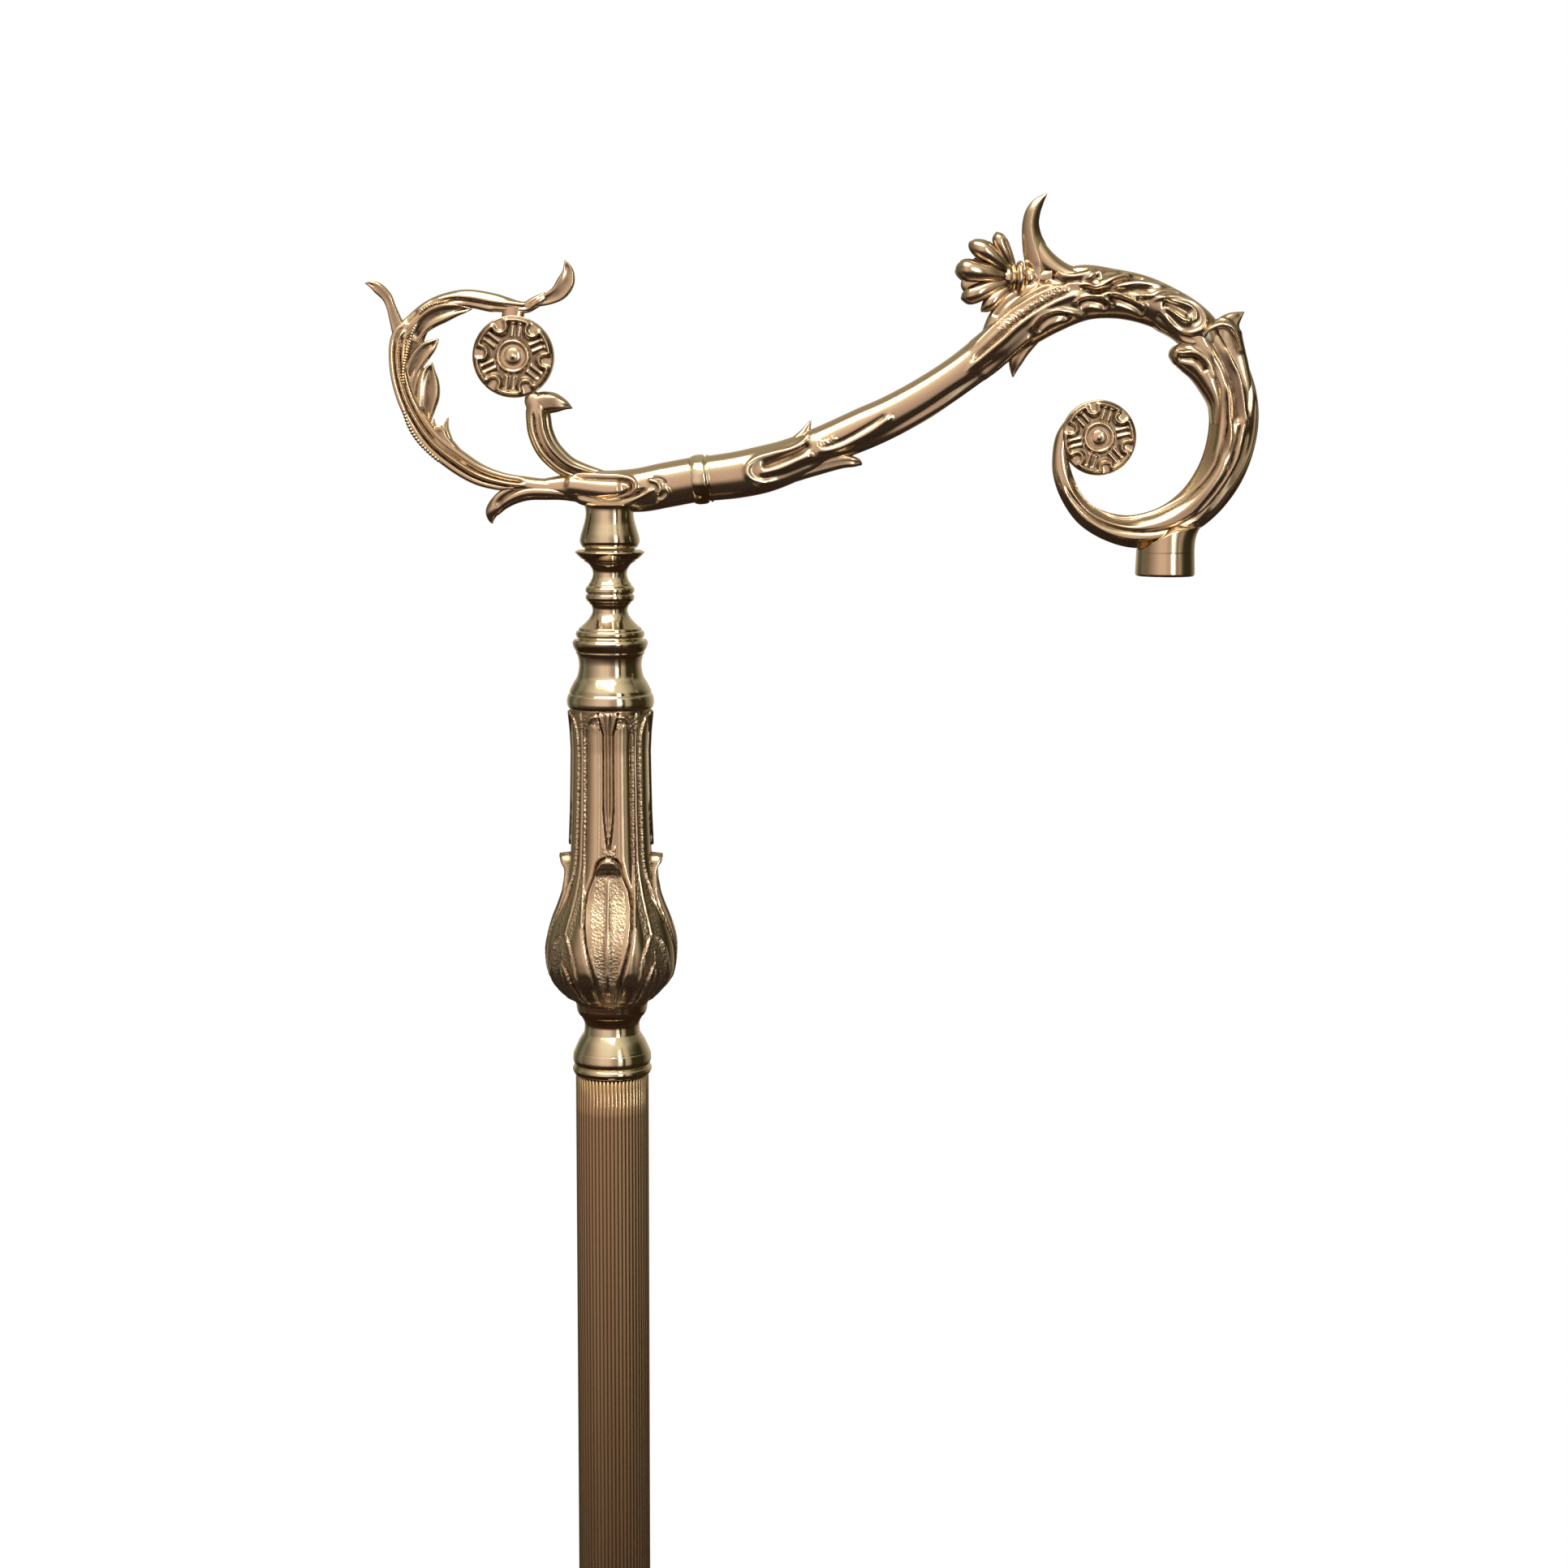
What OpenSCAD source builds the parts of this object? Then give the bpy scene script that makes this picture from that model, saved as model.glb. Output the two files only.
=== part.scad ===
// Bridge floor lamp stand: a weighted round base, a reeded tube with a turned and cast column
// on it, and a cast bridge arm that swivels on top of the column.
// The origin is on the floor under the column, +Z is up and the arm points along +X.

/* [Base] */
// Radius of the base cover
base_r = 135; // [120:1:150]
// Height of the base cover above the floor
base_h = 61; // [56:1:70]
// Wall of the spun brass cover
cover_wall = 2.5; // [1.5:0.5:3]
// Thickness of the felt pad
felt_t = 3; // [2:0.5:4]
// How far the felt stands below the rim of the cover
felt_proud = 1; // [0.5:0.5:1.5]
// Height of the leaf collar on the base
collar_h = 30; // [24:1:40]
// Radius at the foot of the leaf collar
collar_r = 30; // [26:1:32]
// Height of the turned socket under the tube
socket_h = 24; // [20:1:30]
// Bore of the cord bushing at the back of the base
bushing_bore = 7; // [5:0.5:8]

/* [Tube] */
// Diameter of the reeded tube over its reeds
tube_d = 30; // [28:0.5:31]
// Length of the reeded tube
tube_len = 1043; // [800:1:1300]
// Number of reeds
reeds = 56; // [36:4:60]
// Wall of the tube under the reeds
tube_wall = 1.1; // [0.8:0.1:1.6]
// Height of the rings at both ends of the tube
ferrule_h = 3.8; // [3:0.1:5]

/* [Column] */
// Height of the turned coupler on the tube
coupler_h = 25.6; // [22:0.2:30]
// Height of the cast leaf baluster
baluster_h = 121.4; // [110:0.2:135]
// Height of the polished cap on the baluster
cap_h = 27.6; // [24:0.2:32]
// Height of the lower spool
lower_spool_h = 18.6; // [16:0.2:22]
// Height of the upper spool
upper_spool_h = 17.4; // [16:0.2:20]
// Thickness of the swivel washer
swivel_washer_t = 0.8; // [0.6:0.1:1.2]
// Diameter of the threaded rod that clamps the column
rod_d = 10; // [9:0.5:10]
// Cord way in the rod
rod_bore_d = 7; // [6:0.5:7]

/* [Arm] */
// Distance from the column to the nozzle
arm_reach = 223; // [200:1:245]
// Distance from the column to the tip of the rear scroll
scroll_reach = 95.3; // [88:0.1:104]
// Height of the hub boss, up to the casting
boss_h = 15.5; // [14.5:0.1:16.5]
// How far the rod reaches into the hub boss
swivel_depth = 13; // [11:0.5:14]
// Length of the ring between hub and arm
ring_len = 7.8; // [6:0.2:9]
// Radius of the ring between hub and arm
ring_r = 9.9; // [9.6:0.1:10.6]
// Radius of the rear rosette
rear_rosette_r = 16.1; // [15:0.1:16.4]
// Radius of the front rosette
front_rosette_r = 14.9; // [14:0.1:15.4]
// Thickness of both rosettes over the relief
rosette_t = 5.4; // [4.6:0.2:6.4]
// Cord way through the casting
wireway_d = 7; // [5:0.5:7]
// Height of the nozzle below the arm
nozzle_h = 9.4; // [8:0.2:14]
// Radius of the nozzle mouth
nozzle_r = 11.9; // [11.4:0.1:12.6]
// Bore of the nozzle, tapped for a ten millimetre nipple
nozzle_bore_d = 9; // [8:0.5:9]

/* [Fits] */
// Radial running clearance of the swivel
swivel_gap = 0.05; // [0.03:0.01:0.09]
// Radial clearance of turned parts over the rod
rod_gap = 0.2; // [0.1:0.05:0.3]
// Radial clearance of spigots in their sockets
spigot_gap = 0.06; // [0.04:0.01:0.1]
// Clearance where a casting is fitted against a rosette
fitted_gap = 0.06; // [0.04:0.01:0.1]

/* [Hidden] */

round_fn = 96;
fine_fn = 48;
ornament_fn = 8;
turn_steps = 4;
path_steps = 2;

rod_r = rod_d / 2;
rod_bore_r = rod_bore_d / 2;
rod_hole_r = rod_r + rod_gap;
wireway_r = wireway_d / 2;
tube_r = tube_d / 2;

// The column is one stack: each piece stands on the one before it.
collar_z = base_h;
socket_z = collar_z + collar_h;
tube_z = socket_z + socket_h;
coupler_z = tube_z + tube_len;
baluster_z = coupler_z + coupler_h;
cap_z = baluster_z + baluster_h;
lower_spool_z = cap_z + cap_h;
upper_spool_z = lower_spool_z + lower_spool_h;
spool_top_z = upper_spool_z + upper_spool_h;
seam_z = spool_top_z + swivel_washer_t;

// ---- Curves and skins -------------------------------------------------------------------

// Point between p[i] and p[i + 1] on the smooth curve that passes through every point of p
function between(p, i, t) =
    let (a = p[max(i - 1, 0)], b = p[i], c = p[i + 1], d = p[min(i + 2, len(p) - 1)])
    0.5 * (2 * b + (c - a) * t + (2 * a - 5 * b + 4 * c - d) * t * t
        + (3 * b - a - 3 * c + d) * t * t * t);

// The smooth curve through p with a number of steps between two points
function smooth(p, steps) =
    [for (i = [0:len(p) - 2]) for (k = [0:steps - 1]) between(p, i, k / steps), p[len(p) - 1]];

// A turned outline: runs of two points are straight, longer runs are curves
function turned_line(runs) =
    [for (run = runs) each (len(run) > 2 ? smooth(run, turn_steps) : run)];

// Value read from a table of [position, value] rows, straight between the rows
function read_at(table, x) = lookup(x, table);

// Direction of a path of [x, z, ...] stations at station i
function heading(c, i) =
    let (d = c[min(i + 1, len(c) - 1)] - c[max(i - 1, 0)])
    [d[0], d[1]] / norm([d[0], d[1]]);

// Closed skin over a list of rings that have the same number of points
module skin(rings) {
    m = len(rings[0]);
    n = len(rings);
    sides = [
        for (i = [0:n - 2]) for (k = [0:m - 1])
            let (a = i * m + k, b = i * m + (k + 1) % m, c = b + m, d = a + m)
            each [[a, d, b], [b, d, c]]
    ];
    first = [[for (k = [0:m - 1]) k]];
    last = [[for (k = [0:m - 1]) n * m - 1 - k]];
    polyhedron([for (ring = rings) each ring], concat(first, sides, last));
}

// Oval bar along a path in the XZ plane through [x, z, half height, half depth] stations
module bar(stations, sides = 12, steps = path_steps) {
    c = smooth(stations, steps);
    skin([
        for (i = [0:len(c) - 1])
            let (t = heading(c, i))
            [for (k = [0:sides - 1])
                let (a = 360 * k / sides, w = c[i][2] * cos(a))
                [c[i][0] - t[1] * w, -c[i][3] * sin(a), c[i][1] + t[0] * w]]
    ]);
}

// Round bar of constant radius along [x, z] points
module round_bar(points, r, sides = 10) {
    bar([for (p = points) [p[0], p[1], r, r]], sides);
}

// Pointed leaf along a path: hulls between flat pods at [x, z, half width, half depth]
module leaf(stations) {
    for (i = [0:len(stations) - 2])
        hull() {
            pod(stations[i]);
            pod(stations[i + 1]);
        }
}

module pod(s) {
    translate([s[0], 0, s[1]])
        scale([s[2], s[3], s[2]])
            sphere(r = 1, $fn = ornament_fn);
}

// Turned piece from its outline, bored through
module turned(runs, bore_r) {
    line = turned_line(runs);
    rotate_extrude($fn = round_fn)
        polygon(concat([[bore_r, line[0][1]]], line, [[bore_r, line[len(line) - 1][1]]]));
}

module ring(outer_r, inner_r, h) {
    difference() {
        cylinder(r = outer_r, h = h, $fn = round_fn);
        translate([0, 0, -1])
            cylinder(r = inner_r, h = h + 2, $fn = round_fn);
    }
}

// ---- Base -------------------------------------------------------------------------------

rim_h = 12;
rim_bead_r = 4;
land_z = 30.5;
land_w = 7;
land_r = base_r - 38;
weight_gap = 0.5;
weight_top_z = land_z - cover_wall;
rim_in_r = base_r - cover_wall;
recess_r = 20;
washer_t = 2;
washer_r = 16;
nut_h = 6;
nut_across = 17;
recess_floor_z = weight_top_z - 6;
washer_z = recess_floor_z - washer_t;
nut_z = washer_z - nut_h;
rod_bottom_z = nut_z - 2;
bushing_z = 8;
bushing_wall = 1;
bushing_r = bushing_bore / 2 + bushing_wall;
bushing_flange_r = bushing_r + 1.5;
bushing_flange_t = 1.5;
bushing_in = 5;
cord_slot_w = 2 * bushing_r + 1;

// Outline of the cover from the rim up to the land that lies on the weight
rim_runs = [
    [[base_r, felt_proud], [base_r, felt_proud + rim_h]],
    [for (a = [0:15:90]) [base_r - rim_bead_r * (1 - cos(a)),
        felt_proud + rim_h + rim_bead_r * sin(a)]],
    [[base_r - rim_bead_r - 4, felt_proud + rim_h + rim_bead_r],
        [base_r - rim_bead_r - 4, felt_proud + rim_h + rim_bead_r + 2]],
    [[base_r - 10, 19.6], [base_r - 18, 21], [base_r - 25, 24.5], [land_r + land_w, land_z]],
];

dome_runs = [
    [[land_r, land_z], [land_r, land_z + 2.5]],
    [[land_r - 1, land_z + 3], [land_r - 14, land_z + 8], [land_r - 33, land_z + 13],
        [collar_r + 18, base_h - 13], [collar_r + 8, base_h - 8], [collar_r + 4, base_h - 3]],
    [[collar_r + 4, base_h], [rod_hole_r, base_h]],
];

function shifted(line, dr, dz) = [for (p = line) [p[0] + dr, p[1] + dz]];

module felt_pad() {
    color("darkgreen")
        cylinder(r = rim_in_r - 1.5, h = felt_t, $fn = round_fn);
}

module base_weight() {
    rim = shifted(turned_line(rim_runs), -cover_wall - weight_gap, -cover_wall);
    inside = [for (p = rim) if (p[1] > felt_t) p];
    color("dimgray")
        difference() {
            rotate_extrude($fn = round_fn)
                polygon(concat([[rod_hole_r, felt_t], [inside[0][0], felt_t]], inside,
                    [[rod_hole_r, weight_top_z]]));
            translate([0, 0, felt_t - 1])
                cylinder(r = recess_r, h = recess_floor_z - felt_t + 1, $fn = round_fn);
            translate([-cord_slot_w / 2, 0, felt_t - 1])
                cube([cord_slot_w, base_r, bushing_z + cord_slot_w / 2 - felt_t + 1]);
        }
}

module base_cover() {
    outer = concat(turned_line(rim_runs), turned_line(dome_runs));
    inner = shifted(outer, -cover_wall, -cover_wall);
    inner_line = [for (p = inner) [max(p[0], 0), p[1]]];
    color("goldenrod")
        difference() {
            rotate_extrude($fn = round_fn)
                polygon(concat([[0, felt_proud]], outer, [[0, base_h]]));
            rotate_extrude($fn = round_fn)
                polygon(concat([[0, felt_proud - cover_wall]], inner_line,
                    [[0, base_h - cover_wall]]));
            translate([0, 0, base_h - 2 * cover_wall])
                cylinder(r = rod_hole_r, h = 3 * cover_wall, $fn = round_fn);
            translate([0, base_r + 1, bushing_z])
                rotate([90, 0, 0])
                    cylinder(r = bushing_r + 0.1, h = cover_wall + 3, $fn = fine_fn);
        }
}

module base_washer() {
    color("silver")
        translate([0, 0, washer_z])
            ring(washer_r, rod_hole_r, washer_t);
}

module base_nut() {
    color("silver")
        translate([0, 0, nut_z])
            difference() {
                cylinder(d = nut_across / cos(30), h = nut_h, $fn = 6);
                translate([0, 0, -1])
                    cylinder(r = rod_r + spigot_gap, h = nut_h + 2, $fn = fine_fn);
            }
}

module cord_bushing() {
    color("black")
        translate([0, base_r + 0.1, bushing_z])
            rotate([90, 0, 0])
                difference() {
                    union() {
                        translate([0, 0, -bushing_flange_t])
                            cylinder(r = bushing_flange_r, h = bushing_flange_t, $fn = fine_fn);
                        translate([0, 0, -0.5])
                            cylinder(r = bushing_r, h = bushing_in + 0.5, $fn = fine_fn);
                    }
                    translate([0, 0, -bushing_flange_t - 1])
                        cylinder(d = bushing_bore, h = bushing_in + bushing_flange_t + 2,
                            $fn = fine_fn);
                }
}

// ---- Cast leaf work round the column ----------------------------------------------------

leaf_sides = 48;
leaf_count = 4;

// Angle from the middle of the nearest leaf; one leaf faces the front
function leaf_angle(a) =
    let (sector = 360 / leaf_count, b = (a + 90 + sector / 2) % sector)
    abs(b - sector / 2);

// Pleats of the shaft: three to each leaf, deepest half way up
function pleat(a) = cos(3 * leaf_count * (a + 90));

// Leaf seen from outside: half its angle at a share u of the way from tip to root
function leaf_half(u) = u <= 0 || u >= 1 ? 0 : 27 * pow(sin(180 * pow(u, 0.55)), 0.7);

// Height of the leaf over its ground: a curled tip, a raised rim and a raised vein
function leaf_rise(a, u, curl) =
    let (half = leaf_half(u), off = leaf_angle(a))
    off >= half ? 0 : curl * (0.75 + 0.25 * pow(off / max(half, 1), 2) + (off < 4 ? 0.15 : 0));

baluster_ground = [
    [0, 14.7], [1.5, 15.5], [4, 18.7], [8, 22.6], [12, 25.3], [16.3, 26.5], [20.4, 26.8],
    [24.4, 26.8], [28.4, 26.2], [32.4, 25], [36.4, 23.6], [40.4, 21.8], [46.4, 19.5],
    [55.4, 17.2], [60, 16.5], [63, 16.3], [65.4, 16.2], [79.4, 15.6], [92.4, 15.3],
    [104.4, 15.1], [112.4, 15.5], [116.4, 15.9], [121.4, 16.4]
];
// Plain bands at both ends of the baluster, and the height of the lobes round its bulb
baluster_plain_foot = 8;
baluster_plain_top = 119;
bulb_lobe_h = 28;
baluster_leaf_foot = 12;
baluster_leaf_tip = 62.4;
// How far the leaf stands out of the ground, from its foot to its curled tip
baluster_leaf_out = [[12, 0.4], [24, 0.6], [36, 1], [46, 1.2], [55, 2.2], [60, 4.2], [62.4, 4.4]];

module leaf_baluster() {
    drawn_h = baluster_ground[len(baluster_ground) - 1][0];
    k = baluster_h / drawn_h;
    levels = concat([0, 1.5, 4, 8], [for (z = [12:4:56]) z], [58.4, 60.4, 62, 62.6],
        [66, 79, 92, 104, 114], [drawn_h]);
    color("peru")
        translate([0, 0, baluster_z])
            difference() {
                skin([
                    for (z = levels)
                        [for (s = [0:leaf_sides - 1])
                            let (a = 360 * s / leaf_sides, r = baluster_at(a, z))
                            [r * cos(a), r * sin(a), k * z]]
                ]);
                translate([0, 0, -1])
                    cylinder(r = rod_r + 2.5, h = baluster_h + 2, $fn = round_fn);
            }
}

function baluster_at(a, z) =
    let (
        u = (baluster_leaf_tip - z) / (baluster_leaf_tip - baluster_leaf_foot),
        flute = z > baluster_plain_foot && z < baluster_plain_top ? 0.45 * pleat(a) : 0,
        w = (z - baluster_plain_foot) / bulb_lobe_h,
        lobe = w > 0 && w < 1 ? 0.7 * abs(sin(leaf_count * (a + 90))) * sin(180 * w) : 0
    )
    read_at(baluster_ground, z) + flute + lobe
        + leaf_rise(a, u, read_at(baluster_leaf_out, z));

collar_ground = [[0, 1], [0.12, 0.99], [0.3, 0.9], [0.5, 0.74], [0.7, 0.6], [0.88, 0.53], [1, 0.52]];

module base_leaf_collar() {
    levels = [0, 0.06, 0.12, 0.2, 0.3, 0.4, 0.5, 0.6, 0.7, 0.78, 0.82, 0.9, 1];
    color("peru")
        translate([0, 0, collar_z])
            difference() {
                skin([
                    for (z = levels)
                        [for (s = [0:leaf_sides - 1])
                            let (a = 360 * s / leaf_sides, r = collar_at(a, z))
                            [r * cos(a), r * sin(a), collar_h * z]]
                ]);
                translate([0, 0, -1])
                    cylinder(r = rod_r + 2.5, h = collar_h + 2, $fn = round_fn);
            }
}

// Eight pointed leaves that lean against the neck
function collar_at(a, z) =
    let (
        off = abs((a + 22.5) % 45 - 22.5) / 22.5,
        half = z < 0.8 ? pow(cos(112 * z), 0.5) : 0,
        rise = z > 0.04 && off < half ? 1.6 - 0.9 * off : 0
    )
    collar_r * read_at(collar_ground, z) + rise;

// ---- Turned pieces of the column --------------------------------------------------------

// Outlines are drawn upwards from the foot of each piece as [radius, height]
socket_line = [
    [[15.6, 0], [16.2, 0.8]],
    [[16.2, 1.6], [15.4, 3.4], [13, 5.4], [11.6, 8.4], [11.6, 11.4], [13.2, 14.4]],
    [[13.8, 15], [14.4, 15.6]],
    [[14.6, 16.4], [15.9, 18], [16.3, 20], [15.9, 22], [15.5, 22.8]],
    [[15.5, 23.4], [15.5, 24]],
];

module foot_socket() {
    color("goldenrod")
        translate([0, 0, socket_z])
            turned(fitted_to(socket_line, socket_h), rod_hole_r);
}

// The outline stretched to the height of its piece
function fitted_to(runs, h) =
    let (last = runs[len(runs) - 1], drawn = last[len(last) - 1][1])
    [for (run = runs) [for (p = run) [p[0], p[1] * h / drawn]]];

// How far the bead of a ferrule stands out of the tube
ferrule_out = 1.2;

module ferrule() {
    bead_r = ferrule_h / 2;
    difference() {
        union() {
            cylinder(r = tube_r + 0.5, h = ferrule_h, $fn = round_fn);
            translate([0, 0, bead_r])
                rotate_extrude($fn = round_fn)
                    translate([tube_r + ferrule_out - bead_r, 0])
                        intersection() {
                            circle(r = bead_r, $fn = fine_fn);
                            translate([0, -bead_r])
                                square([bead_r, 2 * bead_r]);
                        }
        }
        translate([0, 0, -1])
            cylinder(r = tube_r + spigot_gap, h = ferrule_h + 2, $fn = round_fn);
    }
}

module foot_ferrule() {
    color("goldenrod")
        translate([0, 0, tube_z])
            ferrule();
}

module top_ferrule() {
    color("goldenrod")
        translate([0, 0, coupler_z - ferrule_h])
            ferrule();
}

reed_pitch = PI * tube_d / reeds;
reed_r = 0.54 * reed_pitch;
reed_depth = 0.4 * reed_pitch;
tube_core_r = tube_r - reed_depth;
tube_bore_r = tube_core_r - tube_wall;

module reeded_tube() {
    color("saddlebrown")
        translate([0, 0, tube_z])
            linear_extrude(tube_len)
                difference() {
                    union() {
                        circle(r = tube_core_r, $fn = 2 * reeds);
                        for (i = [0:reeds - 1])
                            rotate(360 * (i + 0.5) / reeds)
                                translate([tube_r - reed_r, 0])
                                    circle(r = reed_r, $fn = 24);
                    }
                    circle(r = tube_bore_r, $fn = round_fn);
                }
}

disc_t = 4;

module centring_disc() {
    ring(tube_bore_r - spigot_gap, rod_hole_r, disc_t);
}

module lower_centring_disc() {
    color("silver")
        translate([0, 0, tube_z])
            centring_disc();
}

module upper_centring_disc() {
    color("silver")
        translate([0, 0, coupler_z - disc_t])
            centring_disc();
}

coupler_line = [
    [[15.2, 0], [15.5, 0.5]],
    [[15.7, 0.9], [16, 2.2], [15.9, 4.2], [15.2, 6.6], [13.4, 10.2], [11.5, 13.2]],
    [[11.3, 14.6], [11.2, 16.4], [11.6, 18.2], [12.8, 20.4]],
    [[13.4, 20.8], [14.2, 22.4], [14.5, 24.2], [14.7, 25.6]],
];

module tube_coupler() {
    color("goldenrod")
        translate([0, 0, coupler_z])
            turned(fitted_to(coupler_line, coupler_h), rod_hole_r);
}

cap_line = [
    [[16.7, 0], [17.1, 0.5]],
    [[17.4, 1.2], [17.6, 2.8], [17.2, 5], [16.3, 7.4]],
    [[16.1, 7.8], [14.9, 10.2], [13.4, 12.8], [12.7, 15.8], [12.6, 18], [13.1, 21], [13.9, 23.2]],
    [[14.2, 23.6], [14.9, 25], [15.2, 26.4]],
    [[15.2, 26.6], [14.6, 27.6]],
];

module baluster_cap() {
    color("goldenrod")
        translate([0, 0, cap_z])
            turned(fitted_to(cap_line, cap_h), rod_hole_r);
}

lower_spool_line = [
    [[13, 0], [13.1, 0.8]],
    [[13.6, 1.2], [13.8, 2.4], [13.5, 3.4]],
    [[12.7, 3.7], [12.6, 4.6]],
    [[11.9, 5], [10.2, 6.6], [8.4, 8.6], [7.2, 10.8], [7.1, 12.6], [7.7, 14.2]],
    [[8.2, 14.4], [8.6, 15.4]],
    [[9.2, 15.6], [9.8, 16.8], [9.6, 18]],
    [[9.2, 18.2], [9.1, 18.6]],
];

module lower_spool() {
    color("goldenrod")
        translate([0, 0, lower_spool_z])
            turned(fitted_to(lower_spool_line, lower_spool_h), rod_hole_r);
}

upper_spool_line = [
    [[9.1, 0], [9.4, 0.4]],
    [[9.8, 0.7], [9.8, 1.9], [9.2, 2.8]],
    [[8.8, 3], [8.4, 4]],
    [[7.9, 4.6], [7.1, 6.4], [6.8, 8], [7.2, 9.8], [8.4, 11.6], [9.6, 12.6]],
    [[10.2, 12.8], [10.6, 13.7]],
    [[11.4, 13.9], [12.8, 15.2], [13.9, 16.4]],
    [[13.8, 16.8], [12.6, 17.4]],
];

column_nut_h = 3;
column_nut_r = 7.2;
nut_pocket_h = column_nut_h + 0.4;
nut_pocket_z = spool_top_z - nut_pocket_h;

module upper_spool() {
    color("goldenrod")
        difference() {
            translate([0, 0, upper_spool_z])
                turned(fitted_to(upper_spool_line, upper_spool_h), rod_hole_r);
            translate([0, 0, nut_pocket_z])
                cylinder(r = column_nut_r + 0.3, h = nut_pocket_h + 1, $fn = round_fn);
        }
}

module column_nut() {
    color("silver")
        translate([0, 0, nut_pocket_z])
            difference() {
                ring(column_nut_r, rod_r + spigot_gap, column_nut_h);
                translate([-column_nut_r - 1, -0.8, column_nut_h - 1.2])
                    cube([2 * column_nut_r + 2, 1.6, 2]);
            }
}

module centre_rod() {
    color("silver")
        translate([0, 0, rod_bottom_z])
            difference() {
                cylinder(r = rod_r, h = seam_z + swivel_depth - rod_bottom_z, $fn = round_fn);
                translate([0, 0, -1])
                    cylinder(r = rod_bore_r, h = seam_z + swivel_depth, $fn = round_fn);
            }
}

module swivel_washer() {
    color("whitesmoke")
        translate([0, 0, spool_top_z])
            ring(10, rod_hole_r, swivel_washer_t);
}

// ---- Hub --------------------------------------------------------------------------------
// From here on a path is a list of [x, z, half height, half depth] stations, with z above
// the swivel seam and x from the column.

boss_line = [
    [[10.4, 0], [10.9, 0.3]],
    [[11.3, 0.8], [12, 2.6], [11.7, 4.8], [10.9, 7.6], [10.1, 10.4], [9.6, 13.2], [9.5, 15.5]],
];
boss_spigot_r = 6.6;
boss_spigot_h = 3.5;

module hub_boss() {
    color("goldenrod")
        translate([0, 0, seam_z])
            difference() {
                union() {
                    turned(fitted_to(boss_line, boss_h), rod_bore_r);
                    cylinder(r = boss_spigot_r, h = boss_h + boss_spigot_h, $fn = round_fn);
                }
                translate([0, 0, -1])
                    cylinder(r = rod_r + swivel_gap, h = boss_h + boss_spigot_h + 2, $fn = round_fn);
            }
}

// Middle of the ring between hub and arm, and the slope of the arm there
ring_x = 36.8;
ring_h = 27.5;
ring_tilt = 7;
scroll_joint_x = -20;
hub_axis_h = 24;

hub_stations = [
    [-26, 24, 5, 4.4], [-17, 23.9, 6, 5.4], [-8, 24.2, 7.4, 7], [2, 23.9, 8.7, 8.4],
    [14, 24.1, 9.1, 8.9], [24, 25.5, 9.1, 9], [33, 27, 9.2, 9.1], [40, 27.9, 9.2, 9.1]
];

tendril_stations = [
    [2, 26.6, 2.4, 3], [-6, 28, 3.2, 4.4], [-13, 30.2, 3.9, 4.8], [-18, 32.2, 4, 4.8],
    [-22, 35.4, 4.1, 4.6], [-26.2, 40.4, 4.4, 4.4], [-28.7, 46.6, 4.5, 4.2],
    [-29.3, 53, 4.4, 4], [-29.2, 57.2, 4, 3.6], [-32, 61, 3, 2.6]
];
tendril_spur = [
    [-29, 56.2, 3.2, 3], [-24.4, 59.4, 2.9, 2.6], [-20, 59, 1.9, 1.8], [-16.3, 57.1, 0.4, 0.5]
];

// Teardrops on both faces of the hub: [x, z, radius] at the thick and at the thin end
hub_drops = [
    [[-14, 26.5, 2.4], [5, 27.4, 2.2]],
    [[-8, 21.2, 2.6], [4, 20.6, 1.6]],
    [[8, 21.4, 1.6], [19, 25.2, 2.2]],
];

// Block that trims a casting flat where it sits on the boss or on the nozzle
trim_w = 80;
trim_h = 20;
// Blocks that trim the hub and the scroll to their common face
joint_trim = 20;
joint_trim_up = 6.5;

module hub_solid() {
    bar(hub_stations, 12);
    bar(tendril_stations, 8);
    leaf(tendril_spur);
    for (side = [-1, 1])
        for (drop = hub_drops)
            hull()
                for (p = drop)
                    translate([p[0], side * drop_depth(p[0]), p[1]])
                        sphere(r = p[2], $fn = ornament_fn);
    translate([0, 0, boss_h])
        cylinder(r1 = 9.5, r2 = 10.6, h = 4, $fn = fine_fn);
}

// Depth at which a teardrop lies half in the face of the hub
function drop_depth(x) = lookup(x, [[-14, 4.4], [-8, 5.6], [5, 7.6], [20, 8]]);

// Moves its children to the ring, with their Z axis along the arm
module at_ring() {
    translate([ring_x, 0, ring_h])
        rotate([0, 90 - ring_tilt, 0])
            children();
}

module hub_casting() {
    color("peru")
        translate([0, 0, seam_z])
            difference() {
                hub_solid();
                translate([scroll_joint_x - joint_trim, -joint_trim, hub_axis_h - joint_trim])
                    cube([joint_trim, 2 * joint_trim, joint_trim + joint_trim_up]);
                at_ring()
                    translate([0, 0, -ring_len / 2])
                        cylinder(r = 30, h = 30, $fn = 24);
                at_ring()
                    translate([0, 0, -ring_len / 2 - nipple_in])
                        cylinder(r = rod_r + spigot_gap, h = 30, $fn = fine_fn);
                translate([0, 0, boss_h - 1])
                    cylinder(r = boss_spigot_r + spigot_gap, h = boss_spigot_h + 1.1, $fn = fine_fn);
                cylinder(r = wireway_r, h = hub_axis_h + 1, $fn = 24);
                round_bar([[-1, hub_axis_h], [14, 24.3], [ring_x - 6, ring_h - 0.7],
                    [ring_x, ring_h]], wireway_r);
                stud_hole();
                rosette_room(rear_rosette_at, rear_rosette_r);
                translate([-trim_w / 2, -trim_w / 2, boss_h - trim_h])
                    cube([trim_w, trim_w, trim_h]);
            }
}

// ---- Rear scroll ------------------------------------------------------------------------

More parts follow.
